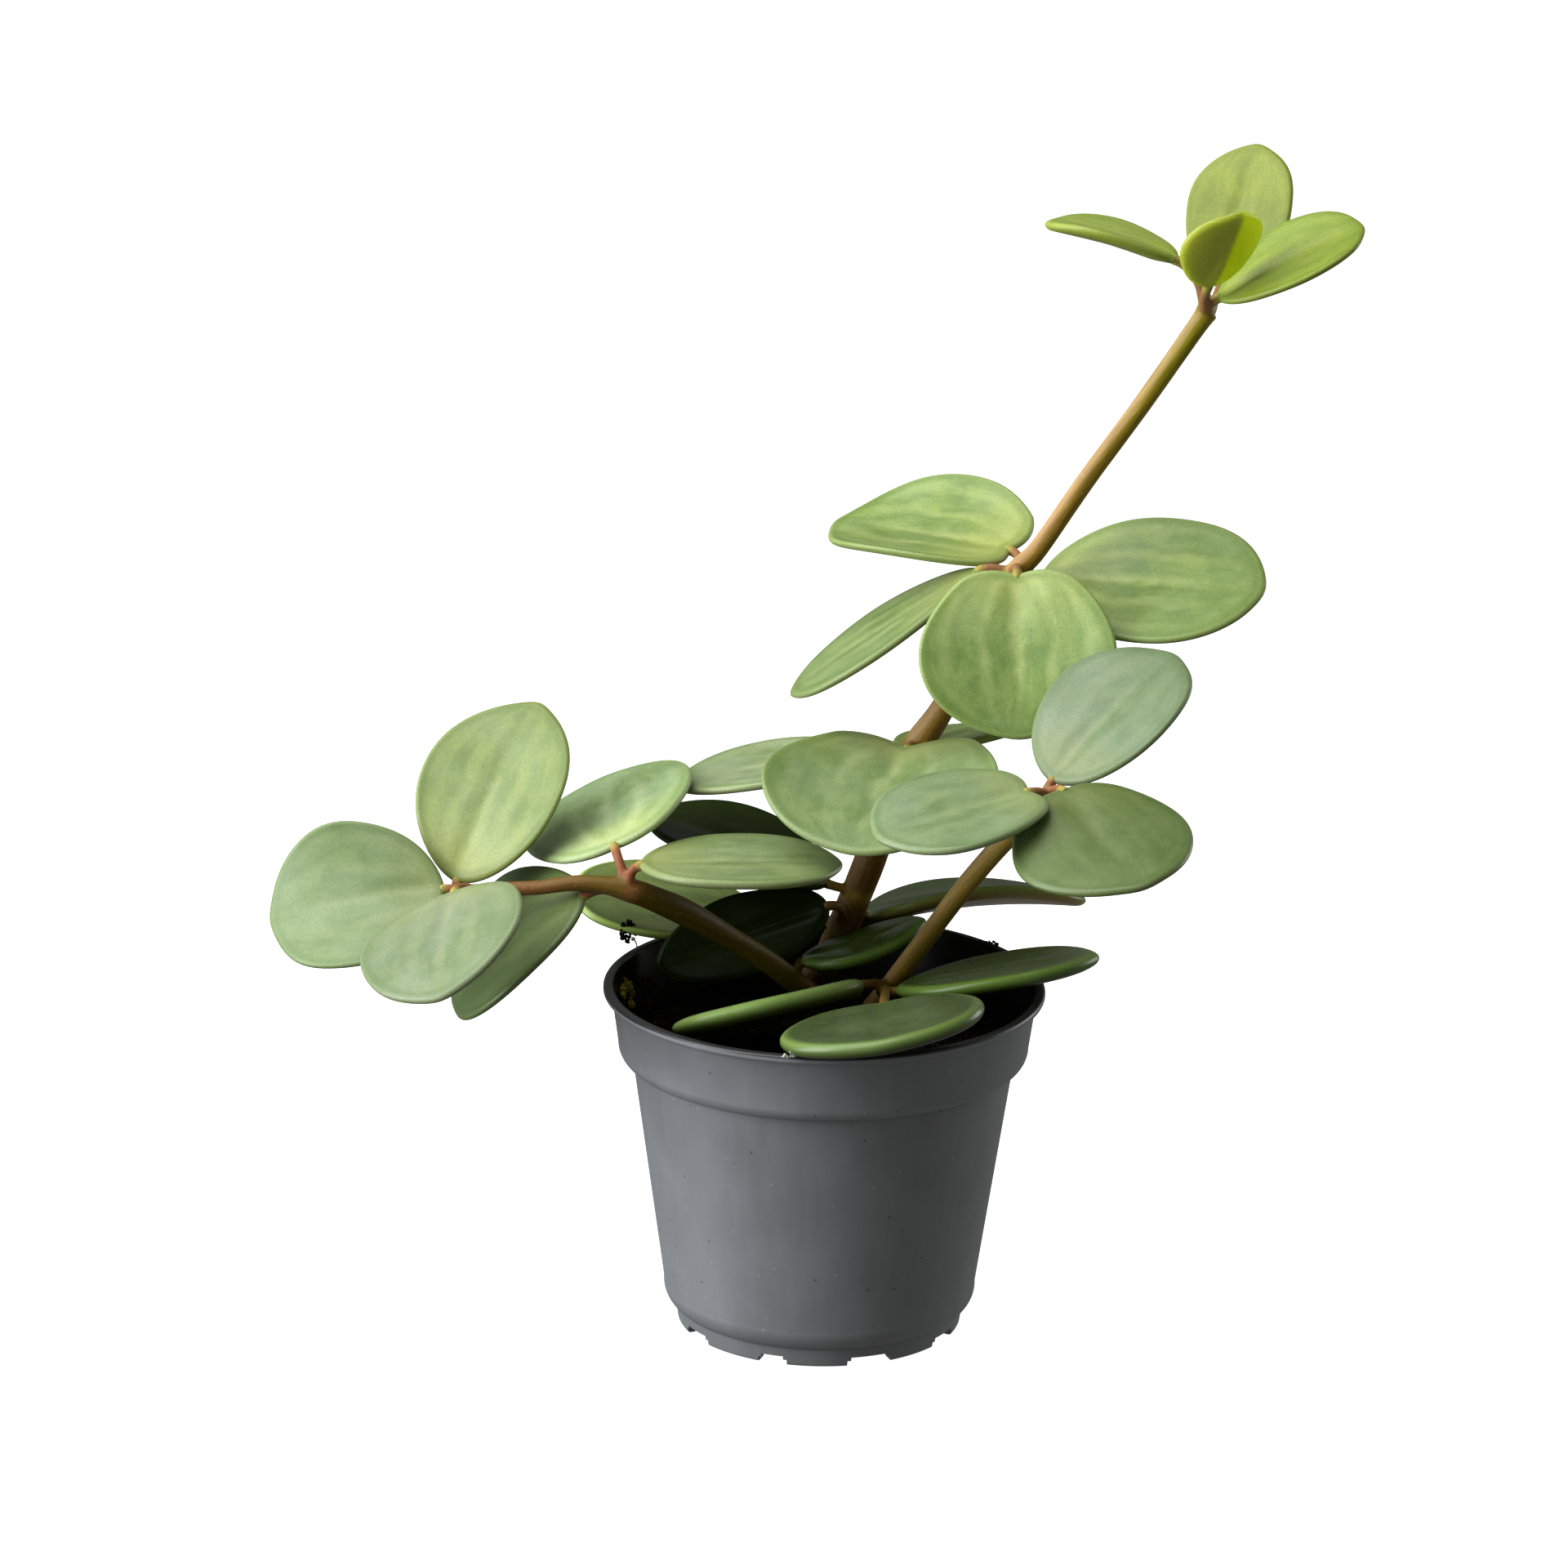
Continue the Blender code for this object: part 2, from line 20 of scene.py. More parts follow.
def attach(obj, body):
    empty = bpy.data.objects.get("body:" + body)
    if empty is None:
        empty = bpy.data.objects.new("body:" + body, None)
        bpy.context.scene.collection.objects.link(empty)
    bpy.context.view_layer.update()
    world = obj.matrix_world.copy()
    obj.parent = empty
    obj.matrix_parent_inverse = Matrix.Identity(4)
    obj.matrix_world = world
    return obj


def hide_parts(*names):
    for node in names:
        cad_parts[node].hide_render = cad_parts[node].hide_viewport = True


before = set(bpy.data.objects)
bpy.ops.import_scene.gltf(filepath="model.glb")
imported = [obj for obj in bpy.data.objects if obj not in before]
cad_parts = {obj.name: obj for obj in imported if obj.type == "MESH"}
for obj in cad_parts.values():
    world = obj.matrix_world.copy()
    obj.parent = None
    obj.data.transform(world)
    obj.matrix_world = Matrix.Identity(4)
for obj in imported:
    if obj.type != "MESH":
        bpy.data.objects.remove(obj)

LOG = logging.getLogger("peperomia")
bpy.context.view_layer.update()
MM = 0.001
POT_AXIS = Vector((2.3, 1.0, 0.0))
BODY = "root"

Place = tuple[float, float, float]
Route = tuple[tuple[float, float, float, float], ...]


# Small tools
def linear(hex_colour: str) -> tuple[float, float, float, float]:
    """Turn an sRGB hex colour to linear light.

    Args:
        hex_colour: Six hex digits after a #.

    Returns:
        Red, green, blue and an alpha of 1.
    """
    parts = [int(hex_colour[i:i + 2], 16) / 255 for i in (1, 3, 5)]
    red, green, blue = (p / 12.92 if p <= 0.04045 else ((p + 0.055) / 1.055) ** 2.4 for p in parts)
    return red, green, blue, 1.0


def cells(size_mm: float) -> float:
    """The Scale, to the nearest ten, that gives a noise or a Voronoi texture cells of this size."""
    return round(1 / (size_mm * MM), -1)


def add_node(tree: bpy.types.NodeTree, kind: str, settings: dict[str, Any] | None = None,
             links: dict[Any, Any] | None = None) -> bpy.types.Node:
    """Add one node to a shader or geometry tree.

    Args:
        tree: The tree that gets the node.
        kind: The node's type name.
        settings: Properties of the node.
        links: Input name or number, with the socket that feeds it or its own value.

    Returns:
        The node.
    """
    node = tree.nodes.new(kind)
    for name, value in (settings or {}).items():
        setattr(node, name, value)
    for socket, source in (links or {}).items():
        if isinstance(source, bpy.types.NodeSocket):
            tree.links.new(source, node.inputs[socket])
        else:
            node.inputs[socket].default_value = source
    return node


def new_material(name: str) -> tuple[bpy.types.Material, bpy.types.NodeTree, bpy.types.Node]:
    """Make a material with a bare Principled shader.

    Args:
        name: The material's name.

    Returns:
        The material, its tree and its shader.
    """
    material = bpy.data.materials.new(name)
    material.use_nodes = True
    tree = material.node_tree
    return material, tree, tree.nodes["Principled BSDF"]


def piece_from(name: str, points: Sequence[Sequence[float]] | np.ndarray,
               faces: Sequence[Sequence[int]]) -> bpy.types.Object:
    """Make an object at the origin from points in millimetres from the pot's axis.

    Args:
        name: The piece's name.
        points: The vertices.
        faces: The vertex numbers of each face.

    Returns:
        The object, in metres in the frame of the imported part.
    """
    mesh = bpy.data.meshes.new(name)
    placed = (np.asarray(points, float) + np.array(POT_AXIS)) * MM
    mesh.from_pydata(placed.tolist(), [], [list(f) for f in faces])
    mesh.update()
    piece = bpy.data.objects.new(name, mesh)
    bpy.context.scene.collection.objects.link(piece)
    return piece


def places(piece: bpy.types.Object) -> np.ndarray:
    """Read where a piece's vertices are.

    Args:
        piece: The piece.

    Returns:
        One row of x, y and z for each vertex, in millimetres from the pot's axis.
    """
    co = np.empty(len(piece.data.vertices) * 3)
    piece.data.vertices.foreach_get("co", co)
    return co.reshape(-1, 3) / MM - np.array(POT_AXIS)


def baked_copy(piece: bpy.types.Object) -> None:
    """Keep what a piece's modifiers make as its plain mesh, and drop the modifiers.

    Args:
        piece: The piece.
    """
    bpy.context.view_layer.update()
    evaluated = piece.evaluated_get(bpy.context.evaluated_depsgraph_get())
    mesh = bpy.data.meshes.new_from_object(evaluated)
    mesh.name = piece.name
    piece.modifiers.clear()
    piece.data = mesh


def outward(piece: bpy.types.Object) -> None:
    """Merge doubled points and turn all faces outwards.

    Args:
        piece: The piece.
    """
    bm = bmesh.new()
    bm.from_mesh(piece.data)
    bmesh.ops.remove_doubles(bm, verts=bm.verts, dist=1e-7)
    bmesh.ops.recalc_face_normals(bm, faces=bm.faces)
    bm.to_mesh(piece.data)
    bm.free()


def store(piece: bpy.types.Object, name: str, values: np.ndarray) -> None:
    """Keep three numbers per point as an attribute that the material reads.

    Args:
        piece: The piece.
        name: The attribute's name.
        values: One row of three for each vertex.
    """
    layer = piece.data.attributes.new(name, "FLOAT_VECTOR", "POINT")
    layer.data.foreach_set("vector", np.asarray(values, np.float32).ravel())


def wear(piece: bpy.types.Object, material: bpy.types.Material, slot: str | None,
         *nodes: str) -> bpy.types.Object:
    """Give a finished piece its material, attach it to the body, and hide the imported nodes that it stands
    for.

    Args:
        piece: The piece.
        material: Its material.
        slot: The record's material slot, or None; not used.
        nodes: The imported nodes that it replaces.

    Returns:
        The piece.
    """
    piece.data.materials.clear()
    piece.data.materials.append(material)
    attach(piece, BODY)
    if nodes:
        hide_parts(*nodes)
    LOG.info("%s: %d faces", piece.name, len(piece.data.polygons))
    return piece


def smooth_route(points: Route, steps: int) -> np.ndarray:
    """Points of a Catmull-Rom curve through the given ones.

    Args:
        points: x, y, z and radius of each point.
        steps: How many points each stretch gets.

    Returns:
        One row of x, y, z and radius for each point.
    """
    given = np.array([points[0], *points, points[-1]], float)
    result = []
    for i in range(1, len(given) - 2):
        a, b, c, d = given[i - 1:i + 3]
        for k in range(steps):
            t = k / steps
            result.append(0.5 * (2 * b + (c - a) * t + (2 * a - 5 * b + 4 * c - d) * t * t
                                 + (3 * b - a - 3 * c + d) * t ** 3))
    result.append(given[-2])
    return np.array(result)


def add_tube(points: list, faces: list, route: np.ndarray, sides: int) -> None:
    """Add a closed tube along a route to a list of points and faces.

    Args:
        points: Vertices so far.
        faces: Faces so far.
        route: x, y, z and radius of each ring.
        sides: How many points each ring has.
    """
    first = len(points)
    side = np.array((0.0, 1.0, 0.0))
    for i, row in enumerate(route):
        along = route[min(i + 1, len(route) - 1), :3] - route[max(i - 1, 0), :3]
        along /= np.linalg.norm(along)
        side = side - along * side.dot(along)
        side /= np.linalg.norm(side)
        across = np.cross(along, side)
        for k in range(sides):
            angle = 2 * pi * k / sides
            points.append(row[:3] + row[3] * (cos(angle) * side + sin(angle) * across))
    for i in range(len(route) - 1):
        for k in range(sides):
            a, b = first + i * sides + k, first + i * sides + (k + 1) % sides
            faces.append((a, b, b + sides, a + sides))
    last = first + (len(route) - 1) * sides
    faces.append([first + k for k in reversed(range(sides))])
    faces.append([last + k for k in range(sides)])


# What grows: the table of stems and leaves, as in the part's source
class Tone(Enum):
    """The four greens of the blades, by the record's material slots."""
    BRIGHT = "bright_leaf"
    FRESH = "fresh_leaf"
    BLUISH = "bluish_leaf"
    DARK = "dark_leaf"


@dataclass(frozen=True)
class StemLine:
    """A stem's centre line from the soil up, as x, y, z and radius, and its record slot."""
    name: str
    route: Route
    slot: str


@dataclass(frozen=True)
class Leaf:
    """One blade and where its stalk starts, in the terms of the part's source.

    lobe draws the shoulders back past the stalk, crease sinks the midrib, point draws the tip out and
    wobble makes the outline a little uneven, all in millimetres.
    """
    name: str
    stem: str
    at: int
    base: Place
    heading: float
    rise: float
    roll: float
    length: float
    width: float
    tone: Tone
    cup: float = 0.1
    arch: float = 0.03
    taper: float = 0.55
    blunt: float = 0.5
    lobe: float = 0.0
    thick: float = 1.6
    crease: float = 0.5
    point: float = 0.4
    wobble: float = 0.18


STEMS = (
    StemLine("tall_stem", (
        (-2.2, 19.8, 41.2, 2.3), (0.6, 19.1, 45.0, 2.3), (2.3, 18.5, 49.5, 2.25), (4.5, 17.6, 55.7, 2.2),
        (6.4, 16.7, 61.4, 2.2), (8.9, 15.8, 69.9, 1.9), (12.0, 15.0, 77.0, 2.1), (15.7, 15.0, 83.1, 1.7),
        (20.2, 15.2, 92.4, 1.55), (24.8, 15.5, 101.5, 1.6), (28.2, 15.6, 105.6, 1.35),
        (34.4, 15.9, 115.2, 1.3), (41.4, 16.3, 125.4, 1.3), (48.4, 16.7, 136.1, 1.35),
        (50.0, 17.0, 138.5, 1.6)), "tan_stem"),
    StemLine("right_stem", (
        (6.7, 10.3, 41.2, 1.5), (8.7, 8.0, 44.6, 1.5), (11.8, 3.7, 50.8, 1.4), (15.3, -1.4, 57.8, 1.35),
        (18.8, -6.0, 64.5, 1.4), (22.8, -10.4, 71.2, 1.4), (28.6, -16.0, 80.0, 1.6)), "brown_stem"),
    StemLine("left_stem", (
        (0.3, 11.8, 41.2, 1.65), (-2.7, 9.5, 44.0, 1.6), (-7.8, 5.5, 49.3, 1.6), (-13.0, 2.0, 53.8, 1.6),
        (-18.9, -2.0, 58.6, 1.85), (-23.8, -5.0, 61.8, 1.7), (-26.4, -6.0, 63.0, 1.65),
        (-29.8, -6.0, 63.7, 1.25), (-34.2, -5.5, 63.7, 1.1), (-38.6, -4.5, 62.7, 1.0),
        (-43.0, -3.5, 62.1, 1.0), (-48.0, -2.5, 61.2, 1.15)), "brown_stem"),
)

LEAVES = (
    # Crown of the tall stem
    Leaf("crown_left_leaf", "tall_stem", 14, (45.4, 17.0, 145.5), 167, 12, 6, 17.8, 15.0,
         Tone.BRIGHT, 0.14, 0.04, blunt=0.42, lobe=1.5, thick=1.9),
    Leaf("crown_back_leaf", "tall_stem", 14, (52.1, 22.5, 141.1), 63, 57, 1, 19.8, 15.2,
         Tone.BRIGHT, 0.07, 0.01),
    Leaf("crown_right_leaf", "tall_stem", 14, (51.0, 14.0, 140.9), -3, 28, 19, 21.5, 15.2,
         Tone.BRIGHT, 0.15, 0.01, taper=0.65, blunt=0.45),
    Leaf("crown_front_leaf", "tall_stem", 14, (49.6, 11.5, 143.2), -54, 60, -4, 12.8, 12.5,
         Tone.BRIGHT, 0.2, 0.0),
    # Upper node of the tall stem
    Leaf("upper_back_leaf", "tall_stem", 9, (24.4, 22.2, 103.3), 149, -1, -12, 27.5, 25.0,
         Tone.FRESH, 0.29, 0.01, blunt=0.6, lobe=4.0),
    Leaf("upper_left_leaf", "tall_stem", 9, (20.3, 15.5, 102.4), 176, -36, -6, 31.2, 17.2,
         Tone.FRESH, 0.02, 0.01, taper=0.67),
    Leaf("upper_front_leaf", "tall_stem", 9, (25.1, 10.0, 103.3), -86, -66, 8, 22.0, 26.5,
         Tone.FRESH, 0.14, 0.04, lobe=3.0),
    Leaf("upper_right_leaf", "tall_stem", 9, (28.6, 20.0, 100.2), -20, 3, 30, 31.5, 24.0,
         Tone.FRESH, 0.07, 0.0),
    # Lower node of the tall stem
    Leaf("middle_front_leaf", "tall_stem", 6, (10.7, 11.0, 78.2), -105, -16, 2, 25.9, 32.4,
         Tone.FRESH, 0.22, 0.04, blunt=0.47, lobe=6.0),
    Leaf("middle_left_leaf", "tall_stem", 6, (7.0, 17.0, 75.6), 184, -9, 1, 28.0, 20.0,
         Tone.FRESH, 0.08, 0.01),
    Leaf("middle_back_leaf", "tall_stem", 6, (13.0, 19.0, 75.4), 54, -4, -14, 24.2, 21.6,
         Tone.FRESH, 0.08, 0.01),
    # Right stem
    Leaf("right_back_leaf", "right_stem", 6, (29.5, -15.0, 82.0), 36, 35, 10, 24.5, 20.5,
         Tone.BLUISH, 0.12, 0.04),
    Leaf("right_left_leaf", "right_stem", 6, (26.3, -20.6, 82.2), -153, -9, -9, 22.3, 20.5,
         Tone.BLUISH, 0.06, 0.01, lobe=3.5),
    Leaf("right_front_leaf", "right_stem", 6, (30.9, -19.5, 82.2), -67, -13, 12, 25.5, 23.5,
         Tone.BLUISH, -0.07, -0.03, blunt=0.55, lobe=1.5),
    # First node of the left stem
    Leaf("near_back_leaf", "left_stem", 6, (-28.5, -3.0, 68.1), 95, 3, -24, 25.9, 25.0,
         Tone.FRESH, -0.02, 0.02, taper=0.6, lobe=2.5),
    Leaf("near_right_leaf", "left_stem", 6, (-25.1, -7.0, 66.9), 3, 0, 1, 26.9, 21.0,
         Tone.FRESH, 0.06, 0.0, thick=1.8),
    Leaf("near_left_leaf", "left_stem", 6, (-32.4, -5.2, 62.0), 158, -42, -36, 26.0, 22.2,
         Tone.BLUISH, 0.13, 0.06, taper=0.58),
    # End of the left stem
    Leaf("far_back_leaf", "left_stem", 11, (-50.0, 0.9, 61.5), 53, 50, 13, 27.3, 20.7,
         Tone.FRESH, 0.15, 0.06, taper=0.6, blunt=0.59),
    Leaf("far_left_leaf", "left_stem", 11, (-51.4, -2.0, 61.5), 179, -12, -46, 23.8, 22.1,
         Tone.BLUISH, 0.21, 0.06, blunt=0.47),
    Leaf("far_front_leaf", "left_stem", 11, (-49.8, -8.0, 63.0), -92, -16, 24, 24.8, 24.0,
         Tone.BLUISH, 0.07, 0.04, blunt=0.57),
    # Low leaves, just above the soil
    Leaf("low_top_leaf", "tall_stem", 3, (0.4, 16.5, 56.9), 165, 16, -3, 26.5, 20.8,
         Tone.DARK, 0.11, 0.03, thick=1.3),
    Leaf("low_back_leaf", "tall_stem", 2, (0.5, 13.5, 54.8), 182, -21, -53, 24.9, 11.7,
         Tone.DARK, 0.05, 0.01, taper=0.5, thick=1.4),
    Leaf("low_middle_leaf", "left_stem", 1, (-3.3, 10.6, 47.5), 4, 19, 2, 17.8, 10.3,
         Tone.DARK, 0.0, -0.04, thick=2.2),
    Leaf("low_right_leaf", "tall_stem", 2, (5.7, 21.5, 50.6), 16, 0, -14, 31.5, 19.5,
         Tone.DARK, 0.16, 0.05, taper=0.42, blunt=0.55, thick=2.0),
    Leaf("low_left_leaf", "tall_stem", 2, (-9.3, 27.2, 49.2), 192, 8, -16, 26.2, 18.4,
         Tone.DARK, 0.07, 0.0, blunt=0.4, thick=1.4),
    Leaf("rim_right_leaf", "right_stem", 1, (9.6, 0.3, 47.0), -3, 12, -7, 27.8, 18.5,
         Tone.DARK, 0.05, 0.0, taper=0.6, thick=2.3),
    Leaf("rim_front_leaf", "right_stem", 1, (7.9, -14.0, 49.6), -91, 6, 11, 23.0, 27.7,
         Tone.DARK, 0.04, 0.0, lobe=2.0, thick=2.3),
    Leaf("rim_left_leaf", "right_stem", 1, (5.3, 2.1, 47.3), 203, -6, 27, 27.6, 15.2,
         Tone.DARK, 0.05, -0.03, thick=2.8),
)


def leaf_forward(leaf: Leaf) -> np.ndarray:
    """The unit vector from a blade's base to its tip."""
    heading, rise = radians(leaf.heading), radians(leaf.rise)
    return np.array((cos(rise) * cos(heading), cos(rise) * sin(heading), sin(rise)))


# Finishes
# Moist plant tissue bends light a little more than water does. Red and green light go furthest in a
# leaf, and red light in a stem.
FLESH_IOR = 1.42
LEAF_LIGHT = (0.7, 1.0, 0.2)
STEM_LIGHT = (1.0, 0.7, 0.2)


@dataclass(frozen=True)
class LeafSkin:
    """Living peperomia skin: a thick cuticle of wax over pale flesh.

    It looks satin, not wet: the veins lie under the skin as broad soft yellowish bands that follow
    the outline from the base, the flesh between them is blotched darker, a bluish coat of wax lies on
    top in clouds with painted sheen in it, a darker line just inside the rim is painted shade, and the
    thick rim, where light gets through and catches it, is painted paler as painted light.

    vein_gap is the share of the half width from the middle of a vein to the middle of the flesh
    beside it, and stray how far veins wander. One multiplier of red, green and blue tints each blade's
    skin and also paints in the light or shade that falls on that blade, and another paints one half of a
    folded blade's underside lighter, as painted light that comes through it.
    """
    flesh: str
    deep: str
    vein: str
    young: str
    # The wax colour below, and its share further down, stand for a bluish coat of wax and partly for painted
    # sheen
    bloom_and_sheen: str
    # The rim's colour is painted light, for light that gets through the thick rim and catches it
    rim: str
    under: str
    veins: float
    glow: float
    wax_and_sheen_share: float
    vein_width: float = 1.5
    vein_gap: float = 0.19
    stray: float = 0.24
    # The rim's band of painted light: how strongly it shows, and where it starts
    rim_share: float = 0.5
    rim_light_from: float = 0.93
    # A darker line just inside the rim, painted shade where the thick rim turns down from the light
    painted_rim_shade: float = 0.45
    roughness: float = 0.42
    sheen: float = 0.5
    grain: float = 0.16
    relief: float = 0.22
    relief_mm: float = 0.08
    soft_light: float = 0.12
    reach_mm: float = 1.2
    # A tint per blade, which also paints in the light or shade that falls on it
    tint_and_painted_light: tuple[float, float, float] = (1.0, 1.0, 1.0)
    # Painted backlight on one half of a folded blade's underside
    painted_backlight: tuple[float, float, float] = (1.0, 1.0, 1.0)

    def vein_mask(self, tree: bpy.types.NodeTree, place: bpy.types.NodeSocket,
                  blade: Sequence[bpy.types.NodeSocket]) -> tuple[bpy.types.NodeSocket, bpy.types.NodeSocket]:
        """Draw the veins at even shares of the half width, broken and fading to the rim and the tip.

        Args:
            tree: The material's tree.
            place: Object coordinates.
            blade: How far along the blade a point is, how far across, and the half width there.

        Returns:
            The share of the half width, and how strong a vein is.
        """
        along, across, reach = blade
        stray = add_node(tree, "ShaderNodeTexNoise",
                         links={"Vector": place, "Scale": cells(6.25), "Detail": 2.0})
        stray = add_node(tree, "ShaderNodeMath", {"operation": "MULTIPLY_ADD"},
                         {0: stray.outputs["Fac"], 1: self.stray, 2: -self.stray / 2}).outputs[0]
        share = add_node(tree, "ShaderNodeMath", {"operation": "DIVIDE"}, {0: across, 1: reach}).outputs[0]
        share = add_node(tree, "ShaderNodeMath", {"operation": "ADD"}, {0: share, 1: stray}).outputs[0]
        share = add_node(tree, "ShaderNodeMath", {"operation": "ABSOLUTE"}, {0: share}).outputs[0]
        near = add_node(tree, "ShaderNodeMath", {"operation": "PINGPONG"},
                        {0: share, 1: self.vein_gap}).outputs[0]
        away = add_node(tree, "ShaderNodeMath", {"operation": "MULTIPLY"}, {0: near, 1: reach}).outputs[0]
        broken = add_node(tree, "ShaderNodeTexNoise",
                          links={"Vector": place, "Scale": cells(3.03), "Detail": 3.0}).outputs["Fac"]
        vein = add_node(tree, "ShaderNodeMapRange", {"interpolation_type": "SMOOTHSTEP"},
                        {"Value": away, "From Min": 0.0, "From Max": self.vein_width,
                         "To Min": 1.0, "To Max": 0.0}).outputs["Result"]
        fades = (("SMOOTHSTEP", along, 0.35, 1.0, self.veins, self.veins * 0.15),
                 ("LINEAR", share, 0.1, 0.85, 1.0, 0.35),
                 ("LINEAR", broken, 0.3, 0.62, 0.35, 1.0))
        for way, source, start, end, first, last in fades:
            fade = add_node(tree, "ShaderNodeMapRange", {"interpolation_type": way},
                            {"Value": source, "From Min": start, "From Max": end, "To Min": first,
                             "To Max": last}).outputs["Result"]
            vein = add_node(tree, "ShaderNodeMath", {"operation": "MULTIPLY"}, {0: vein, 1: fade}).outputs[0]
        return share, vein

    def material(self, name: str) -> bpy.types.Material:
        """Build the skin for one blade.

        Args:
            name: The material's name.

        Returns:
            The material, which reads the blade's own attributes.
        """
        material, tree, shader = new_material(name)
        place = add_node(tree, "ShaderNodeTexCoord").outputs["Object"]
        blade = add_node(tree, "ShaderNodeAttribute", {"attribute_name": "blade"}).outputs["Vector"]
        edge = add_node(tree, "ShaderNodeAttribute", {"attribute_name": "edge"}).outputs["Vector"]
        blade = add_node(tree, "ShaderNodeSeparateXYZ", links={0: blade}).outputs
        rim, under, lot = add_node(tree, "ShaderNodeSeparateXYZ", links={0: edge}).outputs
        along, across, _ = blade
        share, vein = self.vein_mask(tree, place, blade)
        # The flesh: streaks drawn out along the veins, and blotches of about 4 mm
        drawn = add_node(tree, "ShaderNodeCombineXYZ", links={"X": along, "Y": share, "Z": lot}).outputs[0]
        drawn = add_node(tree, "ShaderNodeMapping", links={"Vector": drawn, "Scale": (3.5, 5.0, 40.0)})
        streak = add_node(tree, "ShaderNodeTexNoise",
                          links={"Vector": drawn.outputs[0], "Scale": 1.0, "Detail": 4.0, "Roughness": 0.6})
        blotch = add_node(tree, "ShaderNodeTexNoise",
                          links={"Vector": place, "Scale": cells(3.85), "Detail": 5.0, "Roughness": 0.65})
        mixed = add_node(tree, "ShaderNodeMath", {"operation": "ADD"},
                         {0: streak.outputs["Fac"], 1: blotch.outputs["Fac"]}).outputs[0]
        flesh = add_node(tree, "ShaderNodeMapRange", {"interpolation_type": "SMOOTHSTEP"},
                         {"Value": mixed, "From Min": 0.75, "From Max": 1.25}).outputs["Result"]
        colour = add_node(tree, "ShaderNodeMix", {"data_type": "RGBA"},
                          {0: flesh, 6: linear(self.deep), 7: linear(self.flesh)}).outputs[2]
        colour = add_node(tree, "ShaderNodeMix", {"data_type": "RGBA"},
                          {0: vein, 6: colour, 7: linear(self.vein)}).outputs[2]
        # Over it: young flesh near the stalk, a bluish coat of wax with painted sheen in clouds of about 9
        # mm, painted shade in a darker line just inside the rim, and painted light on the rim itself, where
        # light gets through
        cloud = add_node(tree, "ShaderNodeTexNoise",
                         links={"Vector": place, "Scale": cells(9.09), "Detail": 3.0}).outputs["Fac"]
        layers = ((along, 0.0, 0.42, self.glow, 0.0, self.young),
                  (cloud, 0.38, 0.68, self.wax_and_sheen_share * 0.35, self.wax_and_sheen_share, self.bloom_and_sheen),
                  (rim, 0.84, 0.93, 0.0, self.painted_rim_shade, self.deep),
                  (rim, self.rim_light_from, 0.99, 0.0, self.rim_share, self.rim))
        for source, start, end, first, last, over in layers:
            cover = add_node(tree, "ShaderNodeMapRange", {"interpolation_type": "SMOOTHSTEP"},
                             {"Value": source, "From Min": start, "From Max": end, "To Min": first,
                              "To Max": last}).outputs["Result"]
            colour = add_node(tree, "ShaderNodeMix", {"data_type": "RGBA"},
                              {0: cover, 6: colour, 7: linear(over)}).outputs[2]
        colour = add_node(tree, "ShaderNodeMix", {"data_type": "RGBA"},
                          {0: under, 6: colour, 7: linear(self.under)}).outputs[2]
        # Skin cells of about 0.2 mm, drawn coarser than the real ones so that they show
        grain = add_node(tree, "ShaderNodeTexNoise",
                         links={"Vector": place, "Scale": cells(0.238), "Detail": 3.0, "Roughness": 0.7})
        light = add_node(tree, "ShaderNodeMapRange", {},
                         {"Value": grain.outputs["Fac"], "From Min": 0.32, "From Max": 0.68,
                          "To Min": 1.0 - self.grain, "To Max": 1.0 + self.grain}).outputs["Result"]
        colour = add_node(tree, "ShaderNodeVectorMath", {"operation": "SCALE"},
                          {0: colour, "Scale": light}).outputs[0]
        colour = add_node(tree, "ShaderNodeVectorMath", {"operation": "MULTIPLY"},
                          {0: colour, 1: self.tint_and_painted_light}).outputs[0]
        if self.painted_backlight != (1.0, 1.0, 1.0):
            # Painted backlight: the half of a folded blade that the light comes through, seen from below, is
            # painted lighter
            half = add_node(tree, "ShaderNodeMapRange", {"interpolation_type": "SMOOTHSTEP"},
                            {"Value": across, "From Min": -0.5, "From Max": 0.8}).outputs["Result"]
            half = add_node(tree, "ShaderNodeMath", {"operation": "MULTIPLY"}, {0: half, 1: under}).outputs[0]
            backlit_colour = add_node(tree, "ShaderNodeVectorMath", {"operation": "MULTIPLY"},
                             {0: colour, 1: self.painted_backlight}).outputs[0]
            colour = add_node(tree, "ShaderNodeMix", {"data_type": "RGBA"},
                              {0: half, 6: colour, 7: backlit_colour}).outputs[2]
        tree.links.new(colour, shader.inputs["Base Color"])
        rough = add_node(tree, "ShaderNodeMapRange", {},
                         {"Value": blotch.outputs["Fac"], "From Min": 0.3, "From Max": 0.7,
                          "To Min": self.roughness - 0.05, "To Max": self.roughness + 0.08})
        tree.links.new(rough.outputs["Result"], shader.inputs["Roughness"])
        relief = add_node(tree, "ShaderNodeMath", {"operation": "MULTIPLY_ADD"},
                          {0: vein, 1: -0.9, 2: grain.outputs["Fac"]}).outputs[0]
        bump = add_node(tree, "ShaderNodeBump", links={"Height": relief, "Strength": self.relief,
                                                       "Distance": self.relief_mm * MM})
        tree.links.new(bump.outputs["Normal"], shader.inputs["Normal"])
        shader.inputs["IOR"].default_value = FLESH_IOR
        shader.inputs["Specular IOR Level"].default_value = self.sheen
        shader.inputs["Subsurface Weight"].default_value = self.soft_light
        shader.inputs["Subsurface Radius"].default_value = LEAF_LIGHT
        shader.inputs["Subsurface Scale"].default_value = self.reach_mm * MM
        return material


